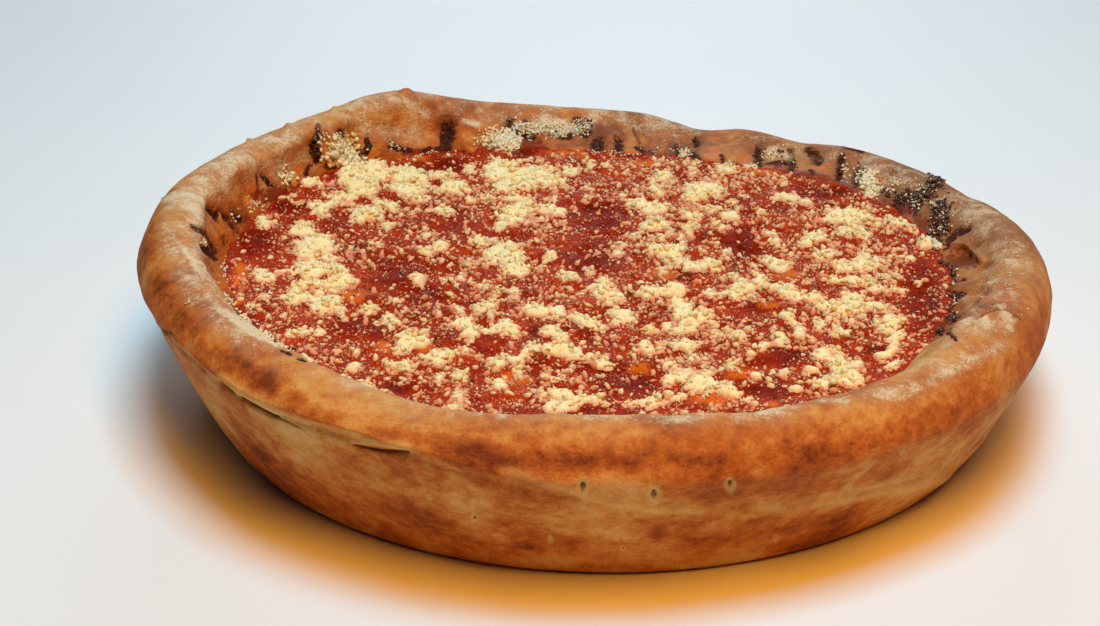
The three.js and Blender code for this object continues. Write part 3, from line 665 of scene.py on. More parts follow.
# Places with hardly any cheese on the red sauce.
clearPlaces = [
    (375, 328, 30, 26), (395, 386, 28, 16), (535, 330, 24, 20), (532, 150, 26, 16), (820, 192, 64, 18),
    (600, 215, 64, 34), (590, 255, 64, 34), (450, 165, 44, 10), (455, 215, 44, 16), (290, 208, 44, 14),
    (395, 275, 48, 30), (420, 292, 44, 18), (345, 328, 44, 16), (745, 245, 44, 30), (790, 272, 32, 14),
    (920, 290, 32, 64), (880, 350, 32, 12), (790, 350, 40, 22), (770, 390, 64, 14), (620, 380, 64, 40),
    (590, 368, 24, 12), (760, 305, 40, 16), (480, 350, 20, 10), (255, 245, 44, 30),
]
cheese = {
    "cell": 0.62, "half": 131, "share": 0.16,  # of the height map: its step and half width in mm, and its cut
    "heapHeight": 2.5, "heightOfSmall": 0.4, "heightPerWidth": 0.15, "core": 0.5,
    "lobes": 11500, "lobeSize": (0.6, 1.9), "lobeRise": 0.62,
    "strays": 290, "straySize": (4, 9.5),  # widths in pixels
}


def seenOnSauce(x, y):  # where the view shows the places on the filling
    return inView(np.stack([x, y, 0 * x + dough["sauceLevel"] + 2], axis=-1))


def sprinkle(draw, count, chance, margin):  # places on the filling, kept where chance(x, y) is high
    kept, tries = [], 60000
    while sum(map(len, kept)) < count:
        turn = draw.uniform(0, 360, tries)
        edge = aroundRim("edge", turn) - margin
        spots = toward(turn, edge * np.sqrt(draw.uniform(0, 1, tries)), 0)
        kept.append(spots[draw.uniform(0, 1, tries) < chance(spots[:, 0], spots[:, 1])])
    return np.concatenate(kept)[:count]


def patchy(x, y, size, seed):  # 0 to 1, in clusters
    return ease(layered(flatAt(x, y), seed, (1, size), (0.6, size / 2.7)), -0.6, 0.8)


def strayPatches():  # small clumps between the heaps
    draw = np.random.default_rng(12)
    spots = sprinkle(draw, cheese["strays"], lambda x, y: 0.15 + 0.85 * patchy(x, y, 14, 87), 2)
    wide = mix(*cheese["straySize"], draw.uniform(0, 1, len(spots)) ** 2)
    tall = wide * draw.uniform(0.4, 0.75, len(spots))
    return np.column_stack([*seenOnSauce(spots[:, 0], spots[:, 1]), wide, tall]).tolist()


def heapMap():  # for each cell, above 0 in a heap with its ragged outline, and the heap's smooth height
    side = np.arange(-cheese["half"], cheese["half"] + 0.01, cheese["cell"])
    x, y = np.meshgrid(side, side, indexing="ij")
    seen = seenOnSauce(x, y)
    mmAcross = view["distance"] / view["focus"]
    mmDown = mmAcross / viewSin
    ragged = layered(flatAt(x, y), 91, (0.3, 6.5), (0.42, 2.8), (0.34, 1.5))
    share, heap = np.full(x.shape, -2.0), np.zeros(x.shape)
    for patch in cheesePatches + strayPatches():
        here = 0.9 - ovalAway(seen, patch) + ragged
        small = min(patch[2] * mmAcross, patch[3] * mmDown)
        top = min(cheese["heapHeight"], cheese["heightOfSmall"] + cheese["heightPerWidth"] * small)
        share = np.maximum(share, here)
        heap = np.maximum(heap, top * np.sqrt(np.clip(here, 0, 1)))
    outside = np.hypot(x, y) > aroundRim("edge", np.degrees(np.arctan2(y, x))) - 0.6
    share[outside], heap[outside] = -2, 0
    return side, share, heap, nearness(nearest(seen, clearPlaces) + ragged, 2)


heapSide, heapShare, heapSmooth, clearShare = heapMap()


def lobedHeight():  # the heaps as soft lobes of every size, piled over a lower core
    draw = np.random.default_rng(13)
    lift = heapSmooth * cheese["core"] * ease(heapShare, 0, 0.3)
    chance = np.clip(heapShare + 0.25, 0, 0.8).ravel() * (heapShare.ravel() > 0.02)
    picks = draw.choice(chance.size, size=cheese["lobes"], p=chance / chance.sum())
    radii = mix(*cheese["lobeSize"], draw.uniform(0, 1, cheese["lobes"]) ** 2.4)
    radii = np.minimum(radii, 0.6 + 0.75 * heapSmooth.ravel()[picks])
    wobble = 1 + 0.45 * lumps(flatAt(*np.meshgrid(heapSide, heapSide, indexing="ij")), 1.7, 94)
    for pick, radius, slipX, slipY in zip(picks, radii, *draw.uniform(-0.3, 0.3, (2, cheese["lobes"]))):
        ix, iy = divmod(int(pick), len(heapSide))
        reach = int(radius * 1.3 / cheese["cell"]) + 1
        window = slice(ix - reach, ix + reach + 1), slice(iy - reach, iy + reach + 1)
        offX = (heapSide[window[0]] - heapSide[ix] + slipX)[:, None]
        offY = (heapSide[window[1]] - heapSide[iy] + slipY)[None, :]
        round2 = radius**2 - (offX**2 + offY**2) * wobble[window]
        rise = np.sqrt(np.clip(round2, 0, None)) - 0.3 * radius
        dome = heapSmooth[ix, iy] * 0.7 + cheese["lobeRise"] * rise
        lift[window] = np.where(round2 > 0, np.maximum(lift[window], dome), lift[window])
    return lift


heapLift = lobedHeight()
covered = (heapLift > cheese["share"]).sum() * cheese["cell"] ** 2
print("cheese heaps cover", round(float(covered)), "square mm")


def mapped(field, x, y):  # what the map says at each place
    cells = (np.round((np.stack([x, y]) - heapSide[0]) / cheese["cell"])).astype(int)
    return field[tuple(np.clip(cells, 0, len(heapSide) - 1))]


# ---- filling shape
sauce = {
    "cells": 230, "rise": 1.0, "riseWidth": 3.0, "overlap": 0.7, "skirt": [(-0.6, -4), (-3, -18)],
    "broad": 0.5, "ripple": 0.6, "chunks": 1.0, "grit": 0.22,
}
# Orange melted cheese, and browned spots, in pixels of the view.
meltPlaces = [
    (355, 296, 34, 14), (383, 347, 16, 14), (424, 345, 22, 16), (665, 273, 28, 14), (515, 380, 32, 18),
    (640, 368, 28, 16), (700, 400, 32, 12), (740, 374, 32, 12), (715, 400, 42, 14), (787, 275, 30, 14),
    (775, 405, 22, 8), (770, 305, 26, 10), (567, 152, 48, 12), (760, 172, 40, 8), (240, 275, 16, 30),
    (238, 300, 14, 16), (640, 163, 60, 6), (420, 158, 30, 5),
]
burntPlaces = [
    (355, 245, 32, 10), (399, 272, 12, 8), (630, 290, 16, 12), (505, 411, 16, 6), (685, 275, 16, 8),
    (775, 206, 26, 6), (865, 255, 20, 6), (787, 326, 10, 6), (440, 337, 16, 10), (460, 366, 10, 5),
    (275, 195, 40, 16), (520, 152, 30, 10), (830, 192, 50, 10), (935, 300, 14, 50), (296, 186, 14, 6),
]


def sauceTop(x, y):  # height of the sauce at x, y
    radius, turn = np.hypot(x, y), np.degrees(np.arctan2(y, x))
    edge = aroundRim("edge", turn)
    flat = flatAt(x, y)
    inward = 1 - (np.clip(radius / edge, 0, 1)) ** 6
    broad = np.sin(x / 13 + 0.6) * np.cos(y / 15 - 0.4)
    ripple = np.sin(x / 5.1 + y / 9.7) * np.cos(y / 4.3 - x / 11.9)
    chunks = ease(layered(flat, 71, (1, 6.2), (0.4, 2.8)), 0.05, 0.7)
    meniscus = sauce["rise"] * np.exp(-np.clip(edge - radius, 0, 99) / sauce["riseWidth"])
    top = dough["sauceLevel"] + 0.3 + inward * (sauce["broad"] * broad + sauce["ripple"] * ripple) + meniscus
    return top + sauce["chunks"] * chunks + sauce["grit"] * lumps(flat, 2.1, 73)


def discGrid(cells):  # a square grid bent into a disc: share of the radius and turn of each point
    side = np.linspace(-1, 1, cells + 1)
    u, v = np.meshgrid(side, side, indexing="ij")
    wide = np.abs(u) >= np.abs(v)
    radius = np.where(wide, u, v)
    small = np.where(wide, v, u) / np.where(radius == 0, 1, radius) * 45
    return np.abs(radius), np.where(wide, small, 90 - small) + np.where(radius < 0, 180, 0)


def cornersOf(number):  # the four points of each cell of a numbered grid
    return np.stack([number[:-1, :-1], number[1:, :-1], number[1:, 1:], number[:-1, 1:]], axis=-1)


def makeSauce():
    cells = sauce["cells"]
    radius, turn = discGrid(cells)
    out = radius * (aroundRim("edge", turn) + sauce["overlap"])
    flat = toward(turn, out, 0)
    surface = toward(turn, out, sauceTop(flat[..., 0], flat[..., 1])).reshape(-1, 3)
    number = np.arange((cells + 1) ** 2).reshape(cells + 1, cells + 1)
    faces = cornersOf(number).reshape(-1, 4).tolist()
    ring = np.concatenate([number[:-1, 0], number[-1, :-1], number[:0:-1, -1], number[0, :0:-1]])
    layers, above, total = [surface], ring, len(surface)
    ringTurn = np.degrees(np.arctan2(surface[ring, 1], surface[ring, 0]))
    ringReach = np.hypot(surface[ring, 0], surface[ring, 1])
    for inward, drop in sauce["skirt"]:  # sides, hidden in the bread
        layers.append(toward(ringTurn, ringReach + inward, dough["sauceLevel"] + drop))
        below = total + np.arange(len(ring))
        faces += np.stack([above, below, np.roll(below, -1), np.roll(above, -1)], axis=-1).tolist()
        above, total = below, total + len(ring)
    points = np.concatenate(layers)
    piece = newMesh("crushed_tomato_sauce", points, faces + [above[::-1].tolist()])
    ragged = layered(points, 81, (0.3, 5), (0.25, 2.2))
    for name, places in {"melt": meltPlaces, "burnt": burntPlaces, "clear": clearPlaces}.items():
        paint(piece, name, nearness(nearest(inView(points), places) + ragged, 2))
    paint(piece, "drift", ease(mapped(heapShare, points[:, 0], points[:, 1]), -0.8, 0.1))
    return piece


def makeHeaps():  # a closed sheet of cells, its edge under the sauce
    count = len(heapSide)
    corners = cornersOf(np.arange(count**2).reshape(count, count))
    corners = corners[(heapLift > cheese["share"]).ravel()[corners].any(axis=-1)]
    used, uses = np.unique(corners, return_counts=True)
    corners = np.searchsorted(used, corners)
    ix, iy = np.divmod(used, count)
    x, y = heapSide[ix], heapSide[iy]
    flat = flatAt(x, y)
    ground, lift = sauceTop(x, y), heapLift[ix, iy]
    top = np.where(uses == 4, ground + lift + 0.12 * lumps(flat, 1.3, 99), ground - 0.3)
    points = np.concatenate([np.column_stack([x, y, top]), np.column_stack([x, y, ground - 0.9])])
    faces = corners.tolist() + (corners[:, ::-1] + len(x)).tolist()
    edges = np.concatenate([corners[:, [a, (a + 1) % 4]] for a in range(4)])
    known = set(map(tuple, edges.tolist()))
    faces += [[b, a, a + len(x), b + len(x)] for a, b in known if (b, a) not in known]
    piece = newMesh("cheese_heaps", points, faces)
    soak = (1 - ease(lift, 0.25, 1.25)) * (0.8 + 0.5 * lumps(flat, 3, 97))
    paint(piece, "tone", np.tile(0.5 + 0.4 * lumps(flat, 5, 96), 2))
    paint(piece, "soak", np.tile(np.clip(soak, 0, 1), 2))
    return piece


def turnedAtRandom(draw, count):  # random rotations as matrices
    a, b, c, d = draw.normal(size=(4, count))
    size = np.sqrt(a * a + b * b + c * c + d * d)
    a, b, c, d = a / size, b / size, c / size, d / size
    rows = [
        [1 - 2 * (c * c + d * d), 2 * (b * c - a * d), 2 * (b * d + a * c)],
        [2 * (b * c + a * d), 1 - 2 * (b * b + d * d), 2 * (c * d - a * b)],
        [2 * (b * d - a * c), 2 * (c * d + a * b), 1 - 2 * (b * b + c * c)],
    ]
    return np.moveaxis(np.array(rows), 2, 0)


def octahedron():  # points and triangles
    points = np.array([[1, 0, 0], [0, 1, 0], [-1, 0, 0], [0, -1, 0], [0, 0, 1], [0, 0, -1]], float)
    upper = [[0, 1, 4], [1, 2, 4], [2, 3, 4], [3, 0, 4]]
    return points, np.array(upper + [[b, a, 5] for a, b, _ in upper])


def facetedBall():  # points and triangles
    ball = bmesh.new()
    bmesh.ops.create_icosphere(ball, subdivisions=1, radius=1)
    ball.verts.ensure_lookup_table()
    points = np.array([vert.co[:] for vert in ball.verts])
    faces = np.array([[vert.index for vert in face.verts] for face in ball.faces])
    ball.free()
    return points, faces


grain = {"shapes": 24, "unevenness": (0.7, 1.3), "long": (0.8, 1.7), "wide": (0.65, 1.15), "high": (0.6, 1.0)}


def grainMesh(name, centres, halfWidths, seed, marks, high=grain["high"], shape=facetedBall):
    draw = np.random.default_rng(seed)
    points, faces = shape()
    count = len(centres)
    shapes = points * draw.uniform(*grain["unevenness"], size=(grain["shapes"], len(points), 1))
    chosen = shapes[draw.integers(0, grain["shapes"], count)]
    stretch = draw.uniform(*zip(grain["long"], grain["wide"], high), size=(count, 3))
    spun = np.einsum("nij,nvj->nvi", turnedAtRandom(draw, count), chosen * stretch[:, None, :])
    grains = centres[:, None, :] + spun * halfWidths[:, None, None]
    allFaces = faces[None] + (np.arange(count) * len(points))[:, None, None]
    piece = newMesh(name, grains.reshape(-1, 3), allFaces.reshape(-1, 3).tolist())
    for mark, values in marks.items():
        paint(piece, mark, np.repeat(values, len(points)))
    return piece


def onAndOff(lift):
    return np.ones_like(lift)


def thinOnHeaps(lift):
    return 1 - 0.8 * ease(lift, 0.3, 0.9)


def offHeaps(lift):
    return lift < 0.4


# Loose cheese: half widths in mm, how pink inside and outside the heaps, how much rarer in the clear places,
# and how likely it is anywhere, in clusters (size in mm and seed) and beside the heaps.
looseCheese = {
    "cheese_crumbs": {
        "seed": 101, "count": 5200, "size": (0.5, 1.3), "soaked": (0.1, 0.78), "cleared": 0.9,
        "anywhere": 0.1, "clusters": (0.5, 12, 95), "beside": (0.3, -0.8), "lift": onAndOff,
        "shape": facetedBall,
    },
    "cheese_grains": {
        "seed": 103, "count": 6800, "size": (0.3, 0.6), "soaked": (0.1, 0.85), "cleared": 0.85,
        "anywhere": 0.08, "clusters": (0.5, 10, 97), "beside": (0.3, -0.9), "lift": thinOnHeaps,
        "shape": facetedBall,
    },
    "cheese_dust": {
        "seed": 105, "count": 12500, "size": (0.18, 0.32), "soaked": (0.1, 1.1), "cleared": 0.6,
        "anywhere": 0.12, "clusters": (0.6, 9, 99), "beside": (0, -0.9), "lift": offHeaps,
        "shape": octahedron,
    },
}


def makeLoose(name):
    look = looseCheese[name]
    draw = np.random.default_rng(look["seed"])
    count = look["count"]
    (clustered, *cluster), (beside, start) = look["clusters"], look["beside"]

    def chance(x, y):
        near = beside * ease(mapped(heapShare, x, y), start, 0.1)
        kept = (1 - look["cleared"] * mapped(clearShare, x, y)) * look["lift"](mapped(heapLift, x, y))
        return (look["anywhere"] + clustered * patchy(x, y, *cluster) + near) * kept

    half = mix(*look["size"], draw.uniform(0, 1, count) ** 1.5)
    spots = sprinkle(draw, count, chance, 0.8)
    x, y = spots[:, 0], spots[:, 1]
    lift = mapped(heapLift, x, y)
    centres = np.column_stack([x, y, sauceTop(x, y) + lift + half * 0.1])
    inside, outside = look["soaked"]
    soak = mix(outside, inside, ease(lift, 0.3, 1.2)) * draw.uniform(0.3, 1.7, count)
    marks = {"tone": draw.uniform(0, 1, count), "soak": np.clip(soak, 0, 1)}
    return grainMesh(name, centres, half, look["seed"] + 1, marks, shape=look["shape"])


def onCrustNear(draw, places):  # places on and above the crust near each spot
    rows = np.where((zone > 10.5) & (zone < 16.2))[0]
    surface, normals = crustPoints[:, rows].reshape(-1, 3), crustNormal[:, rows].reshape(-1, 3)
    across, down, seen = (field[:, rows].ravel() for field in (*crustSeen, inSight))
    chosen, piles = [], []
    for x, y, wide, tall, count, pile in places:
        weight = np.exp(-(((across - x) / wide) ** 2) - ((down - y) / tall) ** 2) * seen
        pick = draw.choice(len(surface), size=count, p=weight / weight.sum())
        lift = pile * weight[pick] * draw.uniform(0, 1, count)
        chosen.append(surface[pick] + draw.uniform(-0.7, 0.7, (count, 3)) + normals[pick] * lift[:, None])
        piles.append(np.full(count, pile))
    chosen = np.concatenate(chosen)
    x, y = chosen[:, 0], chosen[:, 1]
    onSauce = np.hypot(x, y) < aroundRim("edge", np.degrees(np.arctan2(y, x))) + sauce["overlap"]
    chosen[:, 2] = np.where(onSauce, np.maximum(chosen[:, 2], sauceTop(x, y)), chosen[:, 2])
    return chosen, np.concatenate(piles)


# Half widths in mm: the smallest, the largest, what a pile adds to that, and how few are large.
onSlope = {
    "rim_cheese": {
        "places": rimCheese, "seed": 107, "size": (0.3, 0.42, 0.5, 1.2), "marks": {"tone": 0.3, "soak": 0.06},
    },
    "burnt_crumbs": {"places": rimBurnt, "seed": 109, "size": (0.3, 0.7, 0.7, 1.6), "marks": {"tone": 1}},
}


def makeOnSlope(name):
    look = onSlope[name]
    draw = np.random.default_rng(look["seed"])
    spots, piles = onCrustNear(draw, look["places"])
    smallest, largest, perPile, power = look["size"]
    half = mix(smallest, largest + perPile * piles, draw.uniform(0, 1, len(spots)) ** power)
    marks = {mark: draw.uniform(0, most, len(half)) for mark, most in look["marks"].items()}
    return grainMesh(name, spots, half, look["seed"] + 1, marks)


herbs = {
    "count": 240, "size": (0.3, 0.65), "high": (0.2, 0.4),
    "places": 10,  # how many of the browned spots they lie in
}


def makeHerbs():
    def chance(x, y):
        near = nearest(seenOnSauce(x, y), burntPlaces[: herbs["places"]]) < 0.9
        return (0.015 + near) * (mapped(heapLift, x, y) < 0.5)

    draw = np.random.default_rng(111)
    spots = sprinkle(draw, herbs["count"], chance, 3)
    half = draw.uniform(*herbs["size"], len(spots))
    x, y = spots[:, 0], spots[:, 1]
    centres = np.column_stack([x, y, sauceTop(x, y) + mapped(heapLift, x, y) + half * 0.3])
    tone = draw.uniform(0, 1, len(half))
    return grainMesh("herb_flecks", centres, half, 112, {"tone": tone}, herbs["high"])


# ---- shader tools
def colour(red, green, blue):  # from the 0 to 255 values of a paint chart to linear light
    parts = [value / 255 for value in (red, green, blue)]
    return [part / 12.92 if part <= 0.04045 else ((part + 0.055) / 1.055) ** 2.4 for part in parts] + [1]


def addNode(tree, kind, inputs=None, **settings):
    made = tree.nodes.new(kind)
    for key, value in settings.items():
        setattr(made, key, value)
    for key, value in (inputs or {}).items():
        value = getattr(value, "socket", value)
        if isinstance(value, bpy.types.NodeSocket):
            tree.links.new(value, made.inputs[key])
        else:
            made.inputs[key].default_value = value
    return made


def wire(node, name, value):
    node.id_data.links.new(getattr(value, "socket", value), node.inputs[name])


def joined(operation, swapped=False):
    def join(self, other):
        first, second = (other, self) if swapped else (self, other)
        made = addNode(self.tree, "ShaderNodeMath", {0: first, 1: second}, operation=operation)
        return Signal(self.tree, made.outputs[0])

    return join


class Signal:  # a number in a material: its sums and products become nodes
    def __init__(self, tree, socket):
        self.tree, self.socket = tree, socket

    __add__, __sub__, __mul__ = joined("ADD"), joined("SUBTRACT"), joined("MULTIPLY")
    __rsub__, __rtruediv__ = joined("SUBTRACT", True), joined("DIVIDE", True)
    atLeast, exceeds = joined("MAXIMUM"), joined("LESS_THAN", True)

    def clamped(self):
        self.socket.node.use_clamp = True
        return self

    def around(self, amount):  # a mask as a shift about zero
        return (self - 0.5) * amount

    def masked(self, low, high):  # a soft threshold
        limits = {"Value": self, "From Min": low, "From Max": high}
        made = addNode(self.tree, "ShaderNodeMapRange", limits, interpolation_type="SMOOTHSTEP")
        return Signal(self.tree, made.outputs["Result"])


def mixColour(share, first, second):
    return addNode(share.tree, "ShaderNodeMix", {0: share, 6: first, 7: second}, data_type="RGBA").outputs[2]


def ramp(value, stops):
    made = addNode(value.tree, "ShaderNodeValToRGB", {"Fac": value})
    elements = made.color_ramp.elements
    while len(elements) < len(stops):
        elements.new(0.5)
    for element, (place, paintColour) in zip(elements, stops):
        element.position = place
        element.color = paintColour
    return made.outputs["Color"]


def attribute(tree, name):
    made = addNode(tree, "ShaderNodeAttribute", attribute_name=name, attribute_type="GEOMETRY")
    return Signal(tree, made.outputs["Fac"])


def newGroup(name, inputs, outputs):
    group = bpy.data.node_groups.new(name, "ShaderNodeTree")
    for title, value in inputs.items():
        socket = group.interface.new_socket(title, in_out="INPUT", socket_type="NodeSocketFloat")
        socket.default_value = value
    for title in outputs:
        group.interface.new_socket(title, in_out="OUTPUT", socket_type="NodeSocketFloat")
    source = addNode(group, "NodeGroupInput").outputs
    return group, {title: Signal(group, source[title]) for title in inputs}, addNode(group, "NodeGroupOutput")


perMetre = 1000  # mm


def patchGroup():  # uneven patches, 0 to 1, drawn out level by the stretch
    inputs = {"Size mm": 10.0, "Contrast": 1.0, "Stretch": 1.0}
    group, source, sink = newGroup("unevenPatches", inputs, ["Mask"])
    place = addNode(group, "ShaderNodeNewGeometry").outputs["Position"]
    scaling = addNode(group, "ShaderNodeCombineXYZ", {"X": 1.0, "Y": 1.0, "Z": source["Stretch"]})
    factors = {0: place, 1: scaling.outputs[0]}
    squeezed = addNode(group, "ShaderNodeVectorMath", factors, operation="MULTIPLY").outputs[0]
    texture = {"Vector": squeezed, "Scale": perMetre / source["Size mm"], "Detail": 3.0, "Roughness": 0.6}
    noise = Signal(group, addNode(group, "ShaderNodeTexNoise", texture).outputs["Fac"])
    wire(sink, "Mask", ((noise - 0.5) * source["Contrast"] + 0.5).clamped())
    return group


def crumbGroup():  # fine bready or cheesy grain: a height and the specks that stand up from it
    group, source, sink = newGroup("fineCrumb", {"Size mm": 1.0, "Speck share": 0.5}, ["Height", "Specks"])
    place = addNode(group, "ShaderNodeNewGeometry").outputs["Position"]
    texture = {"Vector": place, "Scale": perMetre / source["Size mm"]}
    noise = addNode(group, "ShaderNodeTexNoise", {**texture, "Detail": 4.0, "Roughness": 0.65})
    cells = addNode(group, "ShaderNodeTexVoronoi", {**texture, "Randomness": 1.0})
    rounded = (1 - Signal(group, cells.outputs["Distance"])).clamped()
    wire(sink, "Height", Signal(group, noise.outputs["Fac"]) * 0.6 + rounded * 0.4)
    chance = addNode(group, "ShaderNodeSeparateColor", {"Color": cells.outputs["Color"]}).outputs["Red"]
    present = source["Speck share"].exceeds(chance)
    wire(sink, "Specks", present * rounded.masked(0.55, 0.72))
    return group


groups = {"patches": patchGroup(), "crumb": crumbGroup()}


def patches(tree, size, contrast, stretch=1.0):  # size in mm
    inputs = {"Size mm": size, "Contrast": contrast, "Stretch": stretch}
    made = addNode(tree, "ShaderNodeGroup", inputs, node_tree=groups["patches"])
    return Signal(tree, made.outputs["Mask"])


def crumb(tree, size, share):  # size in mm; a height and the specks
    inputs = {"Size mm": size, "Speck share": share}
    made = addNode(tree, "ShaderNodeGroup", inputs, node_tree=groups["crumb"])
    return Signal(tree, made.outputs["Height"]), Signal(tree, made.outputs["Specks"])


def newMaterial(name, fixed):
    material = bpy.data.materials.new(name)
    material.use_nodes = True
    shader = material.node_tree.nodes["Principled BSDF"]
    for key, value in fixed.items():
        shader.inputs[key].default_value = value
    return material, material.node_tree, shader


def bumped(shader, height, distance):
    bump = addNode(shader.id_data, "ShaderNodeBump", {"Height": height, "Distance": distance})
    wire(shader, "Normal", bump.outputs["Normal"])


breadLook = {
    "dough": colour(222, 174, 106), "golden": colour(212, 144, 68), "brown": colour(188, 100, 34),
    "deep": colour(122, 52, 16), "flour": colour(226, 205, 168), "tan": colour(182, 149, 112),
    "umber": colour(126, 94, 66), "pale": colour(224, 180, 104), "char": colour(44, 19, 13),
    # the colour for inside the slits and holes is painted shade
    "charWarm": colour(96, 44, 28), "pocket": colour(122, 56, 24), "slitShade": colour(98, 48, 21),
    "melt": colour(212, 110, 30), "stain": colour(134, 38, 12),
    "bump": 0.0007,  # in m
}


def breadMaterial():
    look = breadLook
    material, tree, shader = newMaterial("bakedBread", {"IOR": 1.45, "Specular IOR Level": 0.18})
    big, small = patches(tree, 18.0, 1.8, 1.3), patches(tree, 4.0, 2.0, 1.35)
    mid, tiny = patches(tree, 2.3, 2.0, 1.3), patches(tree, 1.1, 1.8)
    fine, dots = crumb(tree, 0.8, 0.5)[0], crumb(tree, 1.7, 0.16)[1]

    def ragged(name, low, high):  # a painted mark with a torn outline
        torn = small.around(0.3) + mid.around(0.4) + tiny.around(0.35)
        return (attribute(tree, name) + torn).masked(low, high)

    # the bake mark is browning, with painted shade in the thumb grooves
    bakeAndShade = attribute(tree, "bakeAndShade") + (big.around(0.34) + small.around(0.36) + tiny.around(0.18))
    bakeAndShade = (bakeAndShade + dots * 0.07).clamped()
    stops = [(0.06, "dough"), (0.34, "golden"), (0.6, "brown"), (0.95, "deep")]
    baked = ramp(bakeAndShade, [(place, look[name]) for place, name in stops])
    flour, dull, hole = (attribute(tree, name) for name in ("flour", "dull", "hole"))
    tan = mixColour(dull, look["tan"], look["umber"])
    baked = mixColour((flour * 0.75).atLeast(dull * 0.65), baked, tan)
    halo = (hole + mid.around(0.35)).masked(0.15, 0.8)
    baked = mixColour(attribute(tree, "pale").atLeast(halo) * 0.75, baked, look["pale"])
    dust = mid.around(0.5) + tiny.around(0.45) + fine.around(0.9)
    flourShare = (flour + dust).masked(0.3, 0.95) * (0.85 - dull * 0.25)
    baked = mixColour(flourShare, baked, look["flour"])
    melt, stain, glossy = ragged("melt", 0.42, 0.8), ragged("stain", 0.42, 0.6), ragged("pocket", 0.3, 0.66)
    # painted shade: the crust inside slits and pricked holes is darkened as if shadowed
    slitShade = attribute(tree, "slit").masked(0.56, 0.88).atLeast(hole.masked(0.66, 0.84))
    shares = {"melt": melt * 0.7, "stain": stain * 0.9, "pocket": glossy, "slitShade": slitShade * 0.8}
    for name, share in shares.items():
        baked = mixColour(share, baked, look[name])
    burnt = mixColour(tiny.masked(0.35, 0.8), look["char"], look["charWarm"])
    charShare = (attribute(tree, "char") + (mid.around(0.6) + tiny.around(0.5))).masked(0.4, 0.7)
    charShare = charShare * (1 - flourShare * 0.75)
    baked = mixColour(charShare, baked, burnt)
    film = ragged("film", 0.35, 0.65)
    wire(shader, "Base Color", mixColour(film * 0.85, baked, driedLook["cream"]))
    wetness, dryness = melt.atLeast(stain.atLeast(glossy)), charShare.atLeast(flourShare)
    wire(shader, "Roughness", (0.7 - wetness * 0.12 + dryness * 0.24).clamped())
    bumped(shader, fine * 0.5 + small * 0.6 + film, look["bump"])
    return material


sauceLook = {
    "bright": colour(197, 64, 17), "red": colour(155, 38, 10), "deep": colour(110, 21, 5),
    "dusty": colour(224, 128, 88), "melt": colour(230, 108, 26), "burnt": colour(74, 26, 8),
    "bump": 0.0009,  # in m
}


def sauceMaterial():
    look = sauceLook
    material, tree, shader = newMaterial("tomatoSauce", {"IOR": 1.38, "Specular IOR Level": 0.03})
    big, small, tiny = patches(tree, 20.0, 1.8), patches(tree, 4.5, 2.0), patches(tree, 1.3, 2.0)
    (fine, specks), finerSpecks = crumb(tree, 1.3, 0.5), crumb(tree, 0.8, 0.45)[1]

    def ragged(name, low, high):  # a painted mark with a torn outline
        return (attribute(tree, name) + (small.around(0.3) + tiny.around(0.2))).masked(low, high)

    clear = ragged("clear", 0.35, 0.7)
    shade = (big * 0.35 + small * 0.4 + tiny * 0.25 - clear * 0.14).clamped()
    red = ramp(shade, [(0.22, look["deep"]), (0.48, look["red"]), (0.76, look["bright"])])
    red = mixColour(ragged("burnt", 0.38, 0.9) * 0.5, red, look["burnt"])
    red = mixColour(ragged("melt", 0.38, 0.85) * 0.85, red, look["melt"])
    specks = specks.atLeast(finerSpecks * 0.8)
    where = (big.masked(0.15, 0.75) * 0.6 + 0.1 + attribute(tree, "drift") * 0.5).clamped()
    speckShare = (specks * (where - clear * 0.6).clamped()).clamped()
    wire(shader, "Base Color", mixColour(speckShare * 0.8, red, look["dusty"]))
    wire(shader, "Roughness", small * 0.2 + speckShare * 0.3 + 0.38)
    bumped(shader, fine * 0.6 + specks * 0.4, look["bump"])
    return material


cheeseLook = {
    "cream": colour(255, 238, 194), "yellow": colour(253, 224, 152), "soaked": colour(230, 148, 112),
}
driedLook = {
    "cream": colour(255, 240, 204), "yellow": colour(250, 224, 166), "soaked": colour(226, 160, 122),
}
cheeseShine = {
    "IOR": 1.4, "Specular IOR Level": 0.25, "Subsurface Weight": 0.5, "Subsurface Radius": (1.0, 0.7, 0.4),
    "Subsurface Scale": 0.0018,
}


def cheeseMaterial(name, look):
    material, tree, shader = newMaterial(name, cheeseShine)
    wide, tiny = patches(tree, 8.0, 1.8), patches(tree, 0.9, 2.0)
    fine = crumb(tree, 0.55, 0.5)[0]
    tone = attribute(tree, "tone") * 0.4 + wide * 0.35 + tiny * 0.25
    soakShare = (attribute(tree, "soak") + tiny.around(0.3)).clamped()
    pale = mixColour(tone, look["cream"], look["yellow"])
    wire(shader, "Base Color", mixColour(soakShare, pale, look["soaked"]))
    wire(shader, "Roughness", fine * 0.25 + 0.5)
    bumped(shader, fine, 0.0004)
    return material


def crumbMaterial(name, look):  # burnt crumbs and herbs
    material, tree, shader = newMaterial(name, {"Roughness": 0.6, "IOR": 1.45})
    fine, specks = crumb(tree, 0.6, 0.5)
    toned = mixColour(attribute(tree, "tone"), look["dark"], look["light"])
    wire(shader, "Base Color", mixColour(specks * look["dust"], toned, breadLook["flour"]))
    bumped(shader, fine, 0.0003)
    return material


# ---- build the pieces
def dress(piece, material, node):
    piece.data.materials.append(material)
    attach(piece, "root")
    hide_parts(node)


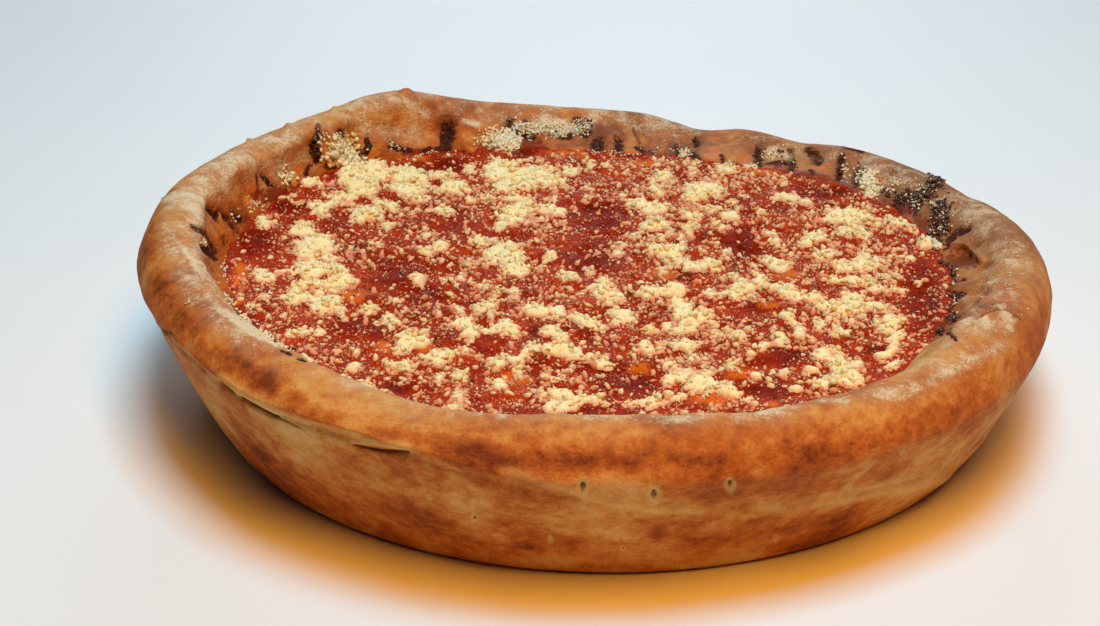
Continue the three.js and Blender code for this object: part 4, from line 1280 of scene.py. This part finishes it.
burntLook = {"dark": colour(42, 19, 13), "light": colour(92, 50, 36), "dust": 0.6}
herbLook = {"dark": colour(40, 32, 18), "light": colour(80, 64, 34), "dust": 0.1}
grated = cheeseMaterial("gratedCheese", cheeseLook)
dress(makeCrust(), breadMaterial(), "bread_crust")
print("crust made")
dress(makeSauce(), sauceMaterial(), "tomato_filling")
print("sauce made")
dress(makeHeaps(), grated, "tomato_filling")
for looseName in looseCheese:
    dress(makeLoose(looseName), grated, "tomato_filling")
dress(makeOnSlope("rim_cheese"), cheeseMaterial("driedCheese", driedLook), "bread_crust")
print("cheese made")
dress(makeOnSlope("burnt_crumbs"), crumbMaterial("burntCrumb", burntLook), "bread_crust")
dress(makeHerbs(), crumbMaterial("driedHerb", herbLook), "tomato_filling")
for piece in bpy.data.objects:
    if piece.type == "MESH" and len(piece.data.polygons) > 5000:
        print(piece.name, sum(len(face.vertices) - 2 for face in piece.data.polygons), "triangles")

# ---- floor, light and camera
studio = {
    "floor": colour(236, 238, 240), "floorHalf": 3.0,
    "worldColour": (0.88, 0.94, 1.0, 1), "worldStrength": 0.02,
    "sensor": 36, "target": (0, 0, 0.02),  # sensor in mm, the rest in m
    "lamps": [  # name, place, size, power in W, colour
        ("warmFront", (0.17, -0.68, 1.21), 0.6, 16.0, (1.0, 0.41, 0.04)),
        ("coolTop", (0.06, -0.12, 1.37), 0.55, 16.6, (0.23, 0.71, 0.97)),
        ("backFill", (0.0, 1.3, 0.52), 0.7, 5.0, (0.9, 0.96, 1.0)),
        ("sideFill", (0.92, 0.92, 0.52), 0.7, 1.1, (1.0, 0.7, 0.68)),
    ],
}


def makeFloor():
    half = studio["floorHalf"]
    data = bpy.data.meshes.new("pale_floor")
    corners = [(-half, -half, 0), (half, -half, 0), (half, half, 0), (-half, half, 0)]
    data.from_pydata(corners, [], [(0, 1, 2, 3)])
    data.materials.append(newMaterial("paleCard", {"Base Color": studio["floor"], "Roughness": 0.6})[0])
    addObject("pale_floor", data)


def makeLights():
    world = bpy.data.worlds.new("studio")
    bpy.context.scene.world = world
    world.use_nodes = True
    sky = world.node_tree.nodes["Background"]
    sky.inputs["Color"].default_value = studio["worldColour"]
    sky.inputs["Strength"].default_value = studio["worldStrength"]
    for name, place, size, power, tint in studio["lamps"]:
        lamp = bpy.data.lights.new(name, "AREA")
        lamp.size, lamp.energy, lamp.color = size, power, tint
        thing = addObject(name, lamp)
        thing.location = place
        thing.rotation_euler = (Vector(studio["target"]) - thing.location).to_track_quat("-Z", "Y").to_euler()


def makeCamera():
    data = bpy.data.cameras.new("view")
    data.sensor_width = studio["sensor"]
    data.lens = studio["sensor"] * view["focus"] / view["width"]
    camera = addObject("view", data)
    camera.location = ((eye - middle) * mm).tolist()
    camera.rotation_euler = (math.pi / 2 - view["down"], 0, 0)
    bpy.context.scene.camera = camera


makeFloor()
makeLights()
makeCamera()
bpy.context.scene.view_settings.view_transform = "Standard"
